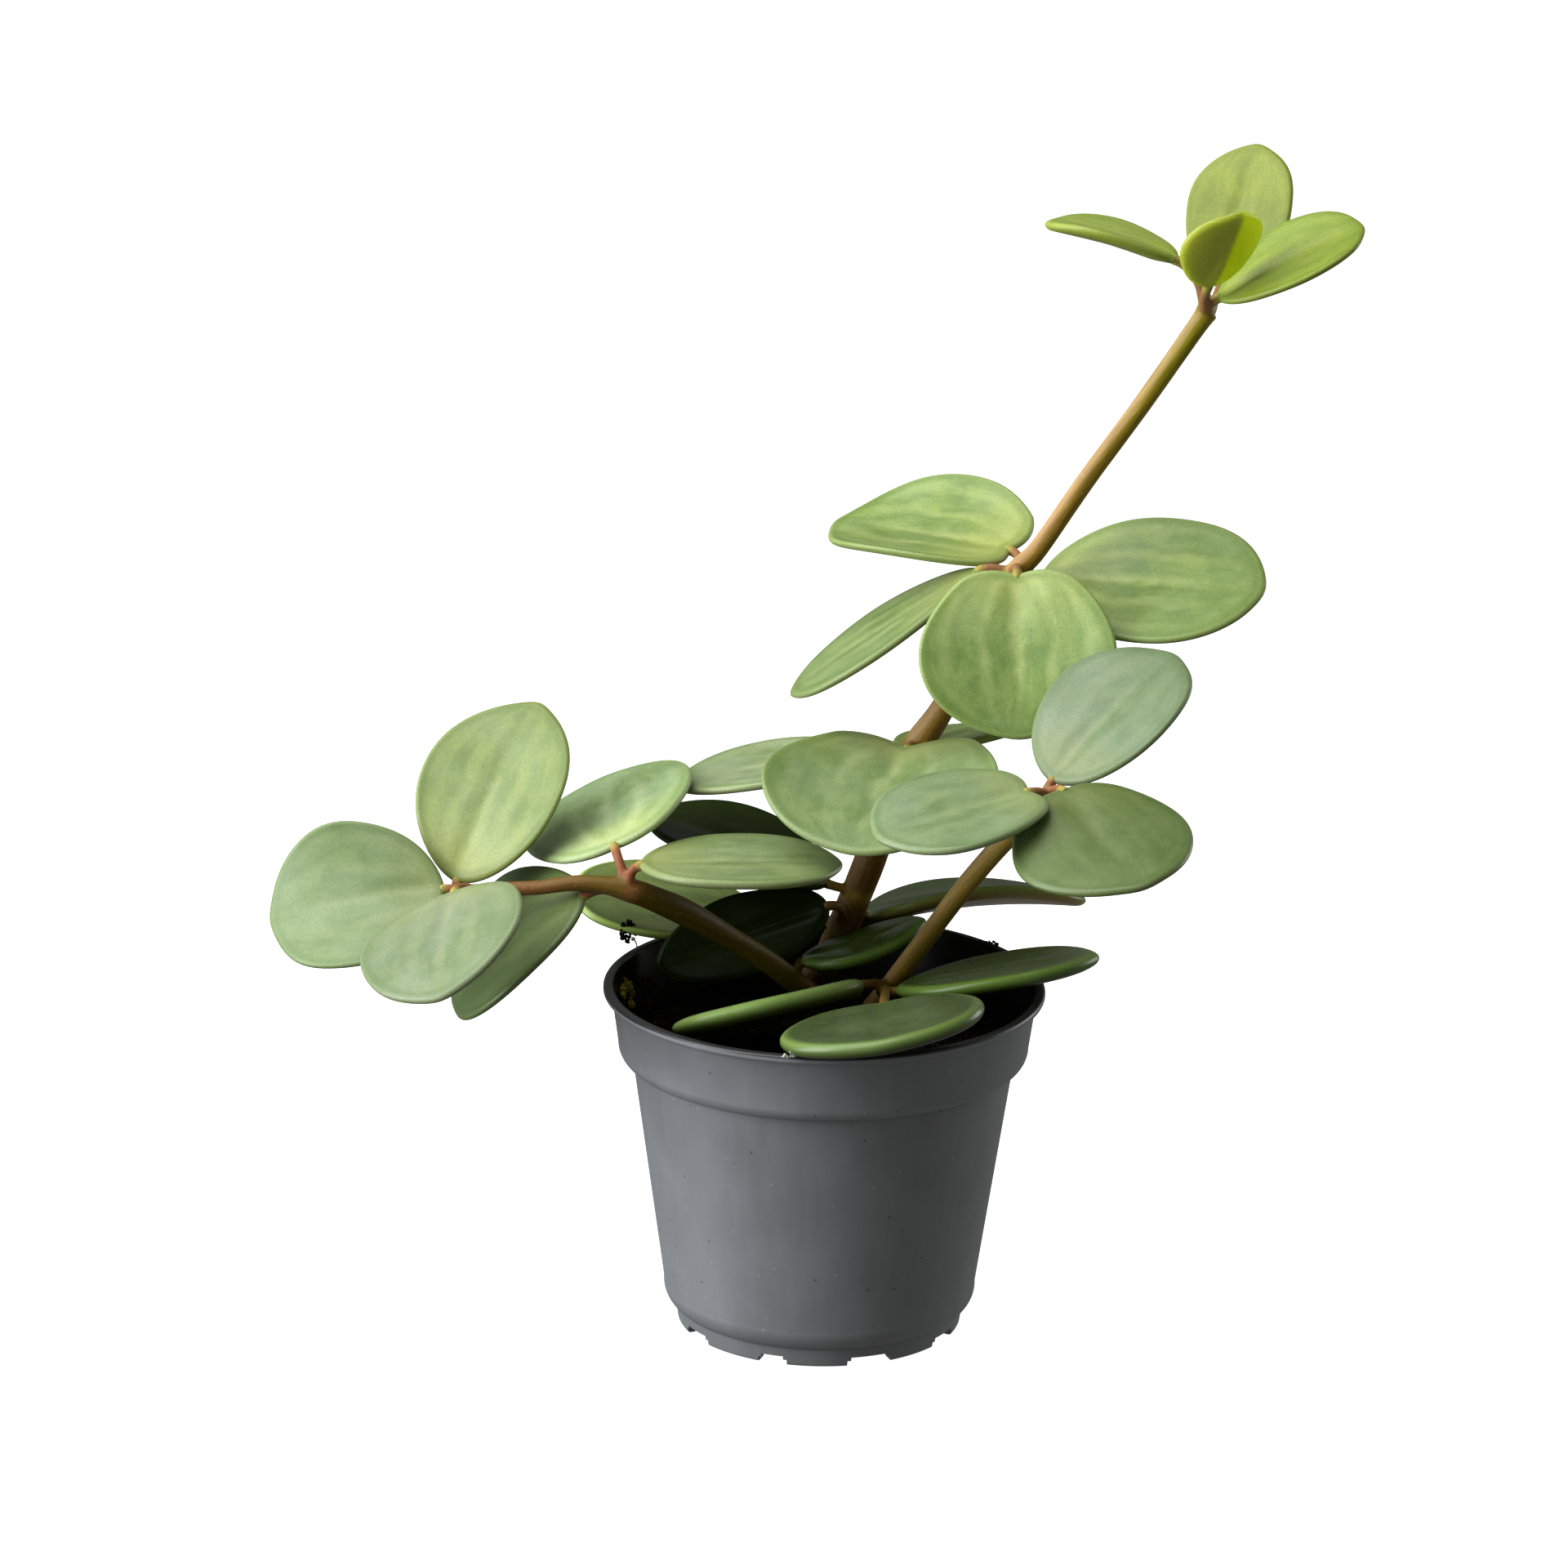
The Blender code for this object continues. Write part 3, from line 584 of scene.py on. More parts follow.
SKINS = {
    Tone.BRIGHT: LeafSkin(flesh="#a2b650", deep="#879f3c", vein="#c3cf74", young="#b0bc38", bloom_and_sheen="#b6c684",
                          rim="#b0c06c", under="#8f9a35", veins=0.45, glow=0.4, wax_and_sheen_share=0.3),
    Tone.FRESH: LeafSkin(flesh="#869f52", deep="#66843a", vein="#bccb82", young="#b4c064", bloom_and_sheen="#9cb48a",
                         rim="#9ab06a", under="#8b9c5f", veins=0.68, glow=0.55, wax_and_sheen_share=0.28, roughness=0.37),
    Tone.BLUISH: LeafSkin(flesh="#84a068", deep="#6d8d56", vein="#acbd88", young="#adb96c", bloom_and_sheen="#a5bca0",
                          rim="#94ad7a", under="#8a9a70", veins=0.5, glow=0.45, wax_and_sheen_share=0.42, roughness=0.36),
    # The old low leaves: their dark green is partly their own and partly painted shade, for the shade they
    # lie in under the other leaves
    Tone.DARK: LeafSkin(flesh="#2b3b17", deep="#233212", vein="#3f5226", young="#3c4f20", bloom_and_sheen="#4d5f3e",
                        rim="#5f7a3e", under="#26340f", veins=0.3, glow=0.15, wax_and_sheen_share=0.22, roughness=0.28,
                        rim_share=0.7, soft_light=0.04, grain=0.0, relief=0.0),
}


# Where a blade's skin differs from the others of its tone: with its age, and with how it is lit, as painted
# light and shade: darker where shade falls on it and lighter where light does
SKIN_CHANGES: dict[str, dict[str, Any]] = {
    "crown_back_leaf": {"tint_and_painted_light": (0.67, 0.64, 0.3), "veins": 0.35},
    "crown_left_leaf": {"tint_and_painted_light": (0.85, 0.87, 0.62)},
    "crown_right_leaf": {"tint_and_painted_light": (0.65, 0.68, 0.35)},
    # crown_front is seen from below with light coming through it: its underside is painted bright yellow, and
    # one half lighter still, as painted backlight
    "crown_front_leaf": {"flesh": "#a0b048", "deep": "#8ca03a", "under": "#d0c838", "soft_light": 0.9,
                         "reach_mm": 3.0, "tint_and_painted_light": (0.66, 0.69, 0.8), "painted_backlight": (1.8, 1.85, 0.2),
                         "rim_share": 0.25},
    "upper_back_leaf": {"tint_and_painted_light": (1.0, 0.95, 0.85), "glow": 0.75},
    "upper_left_leaf": {"tint_and_painted_light": (0.78, 0.73, 0.74), "veins": 0.5},
    "upper_front_leaf": {"tint_and_painted_light": (1.07, 1.03, 0.98), "veins": 0.8},
    "upper_right_leaf": {"tint_and_painted_light": (0.88, 0.86, 0.72)},
    "middle_left_leaf": {"tint_and_painted_light": (1.12, 0.98, 1.4), "veins": 0.5},
    "middle_front_leaf": {"tint_and_painted_light": (0.84, 0.8, 0.88), "veins": 0.5},
    "middle_back_leaf": {"tint_and_painted_light": (0.8, 0.8, 0.45)},
    "near_back_leaf": {"tint_and_painted_light": (1.18, 1.12, 1.5), "veins": 0.5},
    "near_right_leaf": {"tint_and_painted_light": (0.86, 0.79, 0.92), "veins": 0.45},
    "near_left_leaf": {"tint_and_painted_light": (0.44, 0.44, 0.27)},
    "far_back_leaf": {"tint_and_painted_light": (0.83, 0.76, 0.62), "veins": 0.4, "wax_and_sheen_share": 0.4},
    "far_left_leaf": {"tint_and_painted_light": (0.7, 0.66, 0.52)},
    "far_front_leaf": {"tint_and_painted_light": (0.77, 0.67, 0.68)},
    "right_back_leaf": {"tint_and_painted_light": (0.68, 0.63, 0.62)},
    "right_left_leaf": {"tint_and_painted_light": (0.83, 0.77, 0.7)},
    "right_front_leaf": {"tint_and_painted_light": (0.5, 0.49, 0.3)},
    # low_top and low_back are painted darker still, as painted shade under the leaves above them
    "low_top_leaf": {"tint_and_painted_light": (0.5, 0.5, 0.22), "sheen": 0.1, "rim_share": 0.3},
    "low_back_leaf": {"tint_and_painted_light": (0.36, 0.38, 0.15), "sheen": 0.08, "rim_share": 0.3},
    # low_middle gets a wider band of painted light on its rim
    "low_middle_leaf": {"tint_and_painted_light": (1.45, 1.55, 0.8), "rim_light_from": 0.84},
    "low_right_leaf": {"tint_and_painted_light": (1.35, 1.35, 0.7), "sheen": 0.35, "under": "#77694a"},
    # low_left is painted much lighter, as painted light where it is less shaded
    "low_left_leaf": {"tint_and_painted_light": (6.5, 5.2, 5.2)},
    # The rim leaves get wide bands of painted light on their thick rims, rim_front more painted sheen, and
    # rim_left is painted much lighter overall
    "rim_front_leaf": {"tint_and_painted_light": (1.6, 1.45, 1.3), "rim_share": 0.75, "rim_light_from": 0.86, "wax_and_sheen_share": 0.5},
    "rim_right_leaf": {"tint_and_painted_light": (1.8, 1.8, 1.1), "rim_light_from": 0.86, "wax_and_sheen_share": 0.35},
    "rim_left_leaf": {"tint_and_painted_light": (3.8, 3.4, 3.4), "rim_light_from": 0.7},
}


@dataclass(frozen=True)
class StemSkin:
    """Soft young bark of a succulent stem: ribbed lengthways, satin, freckled with pale pores.

    It runs from one colour at the soil to another at the tip, with brown scars at the nodes and
    painted light on the side to the light, which is painted paler, and the leaf stalks turn yellow-green
    where they enter the blade. turn is the share of the stem's length at which it has its middle colour.
    """
    low: str
    middle: str
    high: str
    scar: str
    stalk: str
    # The colour and share of the painted light on the side to the light
    painted_light_colour: str
    painted_light_share: float
    turn: float
    stalk_end: str = "#a4a04a"
    freckle: str = "#c9b07a"

    def material(self, name: str) -> bpy.types.Material:
        """Build the bark for one stem.

        Args:
            name: The material's name.

        Returns:
            The material, which reads the stem's own attributes.
        """
        material, tree, shader = new_material(name)
        place = add_node(tree, "ShaderNodeTexCoord").outputs["Object"]
        growth = add_node(tree, "ShaderNodeAttribute", {"attribute_name": "growth"}).outputs["Vector"]
        grain_at = add_node(tree, "ShaderNodeAttribute", {"attribute_name": "bark"}).outputs["Vector"]
        along, stalk, node = add_node(tree, "ShaderNodeSeparateXYZ", links={0: growth}).outputs
        lit_side = add_node(tree, "ShaderNodeAttribute", {"attribute_name": "lit_side"}).outputs["Vector"]
        lit_side = add_node(tree, "ShaderNodeSeparateXYZ", links={0: lit_side}).outputs[0]
        low = add_node(tree, "ShaderNodeMapRange", {"interpolation_type": "SMOOTHSTEP"},
                       {"Value": along, "From Min": 0.0, "From Max": self.turn}).outputs["Result"]
        colour = add_node(tree, "ShaderNodeMix", {"data_type": "RGBA"},
                          {0: low, 6: linear(self.low), 7: linear(self.middle)}).outputs[2]
        # Towards the tip, painted light on the side to the light, at the scars, on the stalks and at their
        # ends
        layers = (("SMOOTHSTEP", along, self.turn, 1.0, 1.0, self.high),
                  ("LINEAR", lit_side, 0.0, 1.0, self.painted_light_share, self.painted_light_colour),
                  ("LINEAR", node, 0.0, 1.0, 1.0, self.scar),
                  ("SMOOTHSTEP", stalk, 0.02, 0.3, 1.0, self.stalk),
                  ("SMOOTHSTEP", stalk, 0.7, 1.0, 1.0, self.stalk_end))
        for way, source, start, end, last, over in layers:
            cover = add_node(tree, "ShaderNodeMapRange", {"interpolation_type": way},
                             {"Value": source, "From Min": start, "From Max": end,
                              "To Max": last}).outputs["Result"]
            colour = add_node(tree, "ShaderNodeMix", {"data_type": "RGBA"},
                              {0: cover, 6: colour, 7: linear(over)}).outputs[2]
        # Ribs run along the stem: round it a noise every 0.5 mm, along it every 6 mm
        ribs = add_node(tree, "ShaderNodeTexNoise",
                        links={"Vector": grain_at, "Scale": 1.0, "Detail": 4.0, "Roughness": 0.65})
        shade = add_node(tree, "ShaderNodeMapRange", {},
                         {"Value": ribs.outputs["Fac"], "From Min": 0.3, "From Max": 0.7,
                          "To Min": 0.74, "To Max": 1.22}).outputs["Result"]
        colour = add_node(tree, "ShaderNodeVectorMath", {"operation": "SCALE"},
                          {0: colour, "Scale": shade}).outputs[0]
        # Pores 0.3 mm across, about 0.8 mm apart
        pores = add_node(tree, "ShaderNodeTexVoronoi", links={"Vector": place, "Scale": cells(0.8)})
        pores = add_node(tree, "ShaderNodeMapRange", {"interpolation_type": "SMOOTHSTEP"},
                         {"Value": pores.outputs["Distance"], "From Min": 0.1, "From Max": 0.24,
                          "To Min": 0.16, "To Max": 0.0}).outputs["Result"]
        colour = add_node(tree, "ShaderNodeMix", {"data_type": "RGBA"},
                          {0: pores, 6: colour, 7: linear(self.freckle)}).outputs[2]
        tree.links.new(colour, shader.inputs["Base Color"])
        rough = add_node(tree, "ShaderNodeMapRange", {},
                         {"Value": ribs.outputs["Fac"], "From Min": 0.3, "From Max": 0.7,
                          "To Min": 0.42, "To Max": 0.58})
        tree.links.new(rough.outputs["Result"], shader.inputs["Roughness"])
        bump = add_node(tree, "ShaderNodeBump", links={"Height": ribs.outputs["Fac"], "Strength": 0.35,
                                                       "Distance": 0.1 * MM})
        tree.links.new(bump.outputs["Normal"], shader.inputs["Normal"])
        shader.inputs["IOR"].default_value = FLESH_IOR
        shader.inputs["Specular IOR Level"].default_value = 0.25
        shader.inputs["Subsurface Weight"].default_value = 0.08
        shader.inputs["Subsurface Radius"].default_value = STEM_LIGHT
        shader.inputs["Subsurface Scale"].default_value = MM
        return material


BARKS = {
    "tall_stem": StemSkin("#5a3e18", "#8a6c20", "#8a8010", scar="#8f7a2a", stalk="#906840", turn=0.7,
                          painted_light_colour="#bd9a70", painted_light_share=0.7),
    "right_stem": StemSkin("#7a4818", "#705a14", "#8e7630", scar="#a07850", stalk="#a06c48", turn=0.3,
                           painted_light_colour="#b8986a", painted_light_share=0.5),
    "left_stem": StemSkin("#5c5006", "#5c4a06", "#74492a", scar="#80522c", stalk="#8c5636", turn=0.62,
                          painted_light_colour="#8a7a38", painted_light_share=0.2),
}


@dataclass(frozen=True)
class MouldedPot:
    """Recycled polypropylene, injection moulded thin: matte grey, faintly clouded and scuffed.

    Regrind leaves pale and dark specks of about 0.3 mm, the melt leaves faint upright flow lines,
    handling leaves fine scratches, and the inside and the lip's top are almost black: stained by the wet
    peat, and painted shade for the shadow in the pot.
    """
    grey: str = "#6e7171"
    cloud: str = "#777a7a"
    stain_and_painted_shade: str = "#0c0b0a"
    pale: str = "#a9aaa6"
    dark: str = "#2b2c2c"
    roughness: float = 0.46

    def material(self, name: str) -> bpy.types.Material:
        """Build the plastic.

        Args:
            name: The material's name.

        Returns:
            The material, which reads the pot's own attribute for its inside, stained and painted with shade.
        """
        material, tree, shader = new_material(name)
        place = add_node(tree, "ShaderNodeTexCoord").outputs["Object"]
        inside = add_node(tree, "ShaderNodeAttribute", {"attribute_name": "stain_and_painted_shade"}).outputs["Vector"]
        inside = add_node(tree, "ShaderNodeSeparateXYZ", links={0: inside}).outputs[0]
        # Melt flow: clouds 10 mm wide, and upright lines 1.5 mm apart
        clouds = add_node(tree, "ShaderNodeTexNoise",
                          links={"Vector": place, "Scale": cells(10.0), "Detail": 4.0})
        upright = add_node(tree, "ShaderNodeMapping", links={"Vector": place, "Scale": (1.0, 1.0, 0.06)})
        flow = add_node(tree, "ShaderNodeTexNoise",
                        links={"Vector": upright.outputs[0], "Scale": cells(1.43), "Detail": 3.0})
        mixed = add_node(tree, "ShaderNodeMath", {"operation": "MULTIPLY_ADD"},
                         {0: flow.outputs["Fac"], 1: 0.45, 2: clouds.outputs["Fac"]}).outputs[0]
        tint = add_node(tree, "ShaderNodeMapRange", {},
                        {"Value": mixed, "From Min": 0.55, "From Max": 0.95}).outputs["Result"]
        colour = add_node(tree, "ShaderNodeMix", {"data_type": "RGBA"},
                          {0: tint, 6: linear(self.grey), 7: linear(self.cloud)}).outputs[2]
        # Regrind specks 0.3 to 0.4 mm across, a few to the square centimetre. The dark lot is shifted,
        # so that it doesn't fall where the pale one does
        for apart, shift, hex_colour, size in ((2.38, 0.0, self.pale, 0.06), (3.03, 0.4, self.dark, 0.07)):
            shifted = add_node(tree, "ShaderNodeMapping", links={"Vector": place,
                                                                 "Location": (shift, shift, shift)})
            specks = add_node(tree, "ShaderNodeTexVoronoi",
                              links={"Vector": shifted.outputs[0], "Scale": cells(apart)})
            specks = add_node(tree, "ShaderNodeMapRange", {},
                              {"Value": specks.outputs["Distance"], "From Min": size * 0.6,
                               "From Max": size, "To Min": 0.75, "To Max": 0.0}).outputs["Result"]
            colour = add_node(tree, "ShaderNodeMix", {"data_type": "RGBA"},
                              {0: specks, 6: colour, 7: linear(hex_colour)}).outputs[2]
        # The inner wall and the lip's top: stained by the wet peat, and painted shade for the shadow in the
        # pot
        colour = add_node(tree, "ShaderNodeMix", {"data_type": "RGBA"},
                          {0: inside, 6: colour, 7: linear(self.stain_and_painted_shade)}).outputs[2]
        tree.links.new(colour, shader.inputs["Base Color"])
        # Spark-eroded mould grain of 0.2 mm, and scratches lying almost level
        grain = add_node(tree, "ShaderNodeTexNoise",
                         links={"Vector": place, "Scale": cells(0.1923), "Detail": 2.0})
        level = add_node(tree, "ShaderNodeMapping",
                         links={"Vector": place, "Rotation": (0.25, 0.1, 0.0), "Scale": (0.05, 0.05, 1.0)})
        scratch = add_node(tree, "ShaderNodeTexNoise",
                           links={"Vector": level.outputs[0], "Scale": cells(0.417), "Detail": 1.0})
        scratch = add_node(tree, "ShaderNodeMapRange", {},
                           {"Value": scratch.outputs["Fac"], "From Min": 0.72, "From Max": 0.76,
                            "To Min": 0.0, "To Max": -0.8}).outputs["Result"]
        relief = add_node(tree, "ShaderNodeMath", {"operation": "ADD"},
                          {0: grain.outputs["Fac"], 1: scratch}).outputs[0]
        bump = add_node(tree, "ShaderNodeBump", links={"Height": relief, "Strength": 0.12,
                                                       "Distance": 0.05 * MM})
        tree.links.new(bump.outputs["Normal"], shader.inputs["Normal"])
        rough = add_node(tree, "ShaderNodeMapRange", {},
                         {"Value": mixed, "From Min": 0.55, "From Max": 0.95,
                          "To Min": self.roughness - 0.05, "To Max": self.roughness + 0.06})
        wet = add_node(tree, "ShaderNodeMix", {"data_type": "FLOAT"},
                       {0: inside, 2: rough.outputs["Result"], 3: 0.33}).outputs[0]
        tree.links.new(wet, shader.inputs["Roughness"])
        shader.inputs["IOR"].default_value = 1.49
        return material


@dataclass(frozen=True)
class PeatSkin:
    """Damp milled peat: almost black and matte, with brown fibres."""
    wet: str = "#0b0806"
    dry: str = "#38261a"
    fibre: str = "#4a3824"

    def material(self, name: str) -> bpy.types.Material:
        """Build the peat.

        Args:
            name: The material's name.

        Returns:
            The material.
        """
        material, tree, shader = new_material(name)
        place = add_node(tree, "ShaderNodeTexCoord").outputs["Object"]
        # Crumbs of about 1.5 mm differ in how wet they are
        damp = add_node(tree, "ShaderNodeTexNoise",
                        links={"Vector": place, "Scale": cells(1.54), "Detail": 6.0, "Roughness": 0.75})
        dry = add_node(tree, "ShaderNodeMapRange", {"interpolation_type": "SMOOTHSTEP"},
                       {"Value": damp.outputs["Fac"], "From Min": 0.45, "From Max": 0.75}).outputs["Result"]
        colour = add_node(tree, "ShaderNodeMix", {"data_type": "RGBA"},
                          {0: dry, 6: linear(self.wet), 7: linear(self.dry)}).outputs[2]
        # Fibres 0.2 mm wide
        thread = add_node(tree, "ShaderNodeTexNoise",
                          links={"Vector": place, "Scale": cells(0.667), "Detail": 1.0, "Distortion": 3.0})
        thread = add_node(tree, "ShaderNodeMapRange", {},
                          {"Value": thread.outputs["Fac"], "From Min": 0.66, "From Max": 0.72,
                           "To Min": 0.0, "To Max": 0.7}).outputs["Result"]
        colour = add_node(tree, "ShaderNodeMix", {"data_type": "RGBA"},
                          {0: thread, 6: colour, 7: linear(self.fibre)}).outputs[2]
        tree.links.new(colour, shader.inputs["Base Color"])
        rough = add_node(tree, "ShaderNodeMapRange", {},
                         {"Value": damp.outputs["Fac"], "From Min": 0.3, "From Max": 0.7,
                          "To Min": 0.7, "To Max": 0.98})
        tree.links.new(rough.outputs["Result"], shader.inputs["Roughness"])
        bump = add_node(tree, "ShaderNodeBump", links={"Height": damp.outputs["Fac"], "Strength": 0.8,
                                                       "Distance": 0.4 * MM})
        tree.links.new(bump.outputs["Normal"], shader.inputs["Normal"])
        shader.inputs["Specular IOR Level"].default_value = 0.15
        return material


@dataclass(frozen=True)
class MossSkin:
    """Wet moss: short soft matte tufts, olive with yellow tips.

    Torn leaf flesh and a bare root have the same soft matte grain in other colours.
    """
    hollow: str = "#5d5a14"
    tip: str = "#a08c24"

    def material(self, name: str) -> bpy.types.Material:
        """Build the moss.

        Args:
            name: The material's name.

        Returns:
            The material.
        """
        material, tree, shader = new_material(name)
        place = add_node(tree, "ShaderNodeTexCoord").outputs["Object"]
        tuft = add_node(tree, "ShaderNodeTexNoise",
                        links={"Vector": place, "Scale": cells(0.556), "Detail": 3.0})
        tips = add_node(tree, "ShaderNodeMapRange", {"interpolation_type": "SMOOTHSTEP"},
                        {"Value": tuft.outputs["Fac"], "From Min": 0.4, "From Max": 0.62}).outputs["Result"]
        colour = add_node(tree, "ShaderNodeMix", {"data_type": "RGBA"},
                          {0: tips, 6: linear(self.hollow), 7: linear(self.tip)}).outputs[2]
        tree.links.new(colour, shader.inputs["Base Color"])
        bump = add_node(tree, "ShaderNodeBump", links={"Height": tuft.outputs["Fac"], "Strength": 0.6,
                                                       "Distance": 0.2 * MM})
        tree.links.new(bump.outputs["Normal"], shader.inputs["Normal"])
        shader.inputs["Roughness"].default_value = 0.8
        return material


# Pieces
@dataclass
class NurseryPot:
    """The thin moulded pot: tapered body, collar, rolled lip, notched foot ring, drain holes.

    uneven gives the notches that the mould left wider or narrower, by number. The fields that end in
    round are the radii of the rounded edges.
    """
    height: float = 48.0
    lip_radius: float = 30.0
    lip_width: float = 1.4
    lip_depth: float = 1.0
    collar_top: float = 28.8
    collar_low_radius: float = 27.9
    collar_low: float = 37.8
    collar_round: float = 2.0
    body_top: float = 25.9
    body_low: float = 20.9
    body_round: float = 3.2
    wall: float = 1.2
    floor: float = 1.6
    foot_radius: float = 19.4
    foot_width: float = 2.4
    foot_height: float = 2.2
    foot_count: int = 9
    foot_in_round: float = 0.35
    foot_out_round: float = 0.45
    root_bevel: float = 0.3
    lip_root_round: float = 0.6
    lip_low_round: float = 0.35
    lip_top_round: float = 0.4
    lip_in_round: float = 0.3
    notch_width: float = 5.5
    notch_height: float = 1.3
    notch_round: float = 0.5
    foot_turn: float = 11.0
    uneven: tuple[tuple[int, float], ...] = ((6, -1.4), (7, 0.9))
    drain_count: int = 4
    drain_radius: float = 1.7
    drain_circle: float = 10.0
    steps: int = 176
    finish: MouldedPot = field(default_factory=MouldedPot)

    def corner(self) -> float:
        """Radius of the tapered wall where the rounded bottom starts."""
        share = self.body_round / (self.collar_low - self.foot_height)
        return self.body_low + (self.body_top - self.body_low) * share

    @staticmethod
    def arc(centre: tuple[float, float], radius: float, start: float, end: float,
            steps: int) -> list[tuple[float, float]]:
        """Points of an arc in the (radius, height) plane, angles in degrees.

        Args:
            centre: The arc's centre.
            radius: Its radius.
            start: Where it starts.
            end: Where it ends.
            steps: How many stretches it has.

        Returns:
            The points.
        """
        angles = [radians(start + (end - start) * i / steps) for i in range(steps + 1)]
        return [(centre[0] + radius * cos(a), centre[1] + radius * sin(a)) for a in angles]

    def outside(self) -> list[tuple[float, float]]:
        """Draw the profile from the middle of the underside up to the lip's top.

        Returns:
            Its points, as radius and height.
        """
        foot_in = self.foot_radius - self.foot_width
        low, bevel = self.foot_height, self.root_bevel
        # Out under the floor, down and up round the foot ring
        profile = [(0.0, low), (foot_in - bevel, low), (foot_in, low - bevel)]
        soft = self.foot_in_round
        profile += self.arc((foot_in + soft, soft), soft, 180, 270, 4)
        soft = self.foot_out_round
        profile += self.arc((self.foot_radius - soft, soft), soft, -90, 0, 5)
        profile += [(self.foot_radius + 0.2, low - bevel)]
        # Round the bottom corner, up the tapered body, and out and up round the collar
        profile += self.arc((self.corner() - self.body_round, low + self.body_round), self.body_round,
                            -62, 8, 14)
        profile += [(self.body_top - 0.02, self.collar_low - 0.5), (self.body_top, self.collar_low)]
        profile += self.arc((self.collar_low_radius - self.collar_round, self.collar_low + self.collar_round),
                            self.collar_round, -75, 4, 12)
        # Into the lip's root, and out and up round the lip
        under = self.height - self.lip_depth
        profile += [(self.collar_top - 0.1, under - 1.3), (self.collar_top + 0.1, under - 0.7)]
        profile += self.arc((self.collar_top + 0.7, under - 0.55), self.lip_root_round, 170, 100, 4)
        soft = self.lip_low_round
        profile += self.arc((self.lip_radius - soft, under + soft), soft, -80, 0, 4)
        soft = self.lip_top_round
        profile += self.arc((self.lip_radius - soft, self.height - soft), soft, 0, 90, 5)
        return profile

    def inside(self) -> list[tuple[float, float]]:
        """Draw the profile from the lip's top down the inner wall, stained and painted with shade, to the
        drained floor.

        Returns:
            Its points, as radius and height.
        """
        lip_in = self.lip_radius - self.lip_width
        low = self.foot_height
        wall_low = self.corner() - self.wall
        soft = self.lip_in_round
        profile = self.arc((lip_in + soft, self.height - soft), soft, 90, 180, 4)
        profile += [(self.collar_low_radius - self.wall, self.collar_low + 1.6),
                    (self.body_top - self.wall, self.collar_low + 0.4)]
        profile += [(wall_low, low + self.body_round + 1.0), (wall_low - 2.0, low + self.floor)]
        profile += [(0.0, low + self.floor)]
        return profile

    def notches(self) -> list[bpy.types.Object]:
        """Make the tools that cut the gaps between the feet, with rounded upper corners.

        Returns:
            One tool for each notch.
        """
        tools = []
        wider = dict(self.uneven)
        start, end = self.foot_radius - self.foot_width - 1.0, self.foot_radius + 2.0
        for i in range(self.foot_count):
            width = self.notch_width + wider.get(i, 0.0)
            bm = bmesh.new()
            bmesh.ops.create_cube(bm, size=1.0)
            bmesh.ops.scale(bm, verts=bm.verts, vec=(end - start, width, self.notch_height * 2))
            upper = [e for e in bm.edges if all(v.co.z > 0 for v in e.verts)
                     and abs(e.verts[0].co.y - e.verts[1].co.y) < 1e-6]
            bmesh.ops.bevel(bm, geom=upper, offset=self.notch_round, segments=4, affect="EDGES")
            bmesh.ops.translate(bm, verts=bm.verts, vec=((start + end) / 2, 0, 0))
            turn = Euler((0, 0, radians(self.foot_turn + i * 360 / self.foot_count))).to_matrix()
            bmesh.ops.rotate(bm, verts=bm.verts, cent=(0, 0, 0), matrix=turn)
            tools.append(self.tool(f"notch_{i}", bm))
        return tools

    def drains(self) -> list[bpy.types.Object]:
        """Make the tools that cut the drain holes.

        Returns:
            One tool for each hole.
        """
        tools = []
        for i in range(self.drain_count):
            angle = radians(45 + i * 360 / self.drain_count)
            bm = bmesh.new()
            bmesh.ops.create_cone(bm, cap_ends=True, segments=32, radius1=self.drain_radius,
                                  radius2=self.drain_radius, depth=self.floor * 3)
            bmesh.ops.translate(bm, verts=bm.verts,
                                vec=(self.drain_circle * cos(angle), self.drain_circle * sin(angle),
                                     self.foot_height + self.floor / 2))
            tools.append(self.tool(f"drain_{i}", bm))
        return tools

    @staticmethod
    def tool(name: str, bm: bmesh.types.BMesh) -> bpy.types.Object:
        """Turn a bmesh into a cutting tool.

        Args:
            name: The tool's name.
            bm: The bmesh, in millimetres from the pot's axis, which is freed.

        Returns:
            The tool.
        """
        bm.verts.ensure_lookup_table()
        points = [v.co.copy() for v in bm.verts]
        faces = [[v.index for v in f.verts] for f in bm.faces]
        bm.free()
        return piece_from(name, [tuple(p) for p in points], faces)

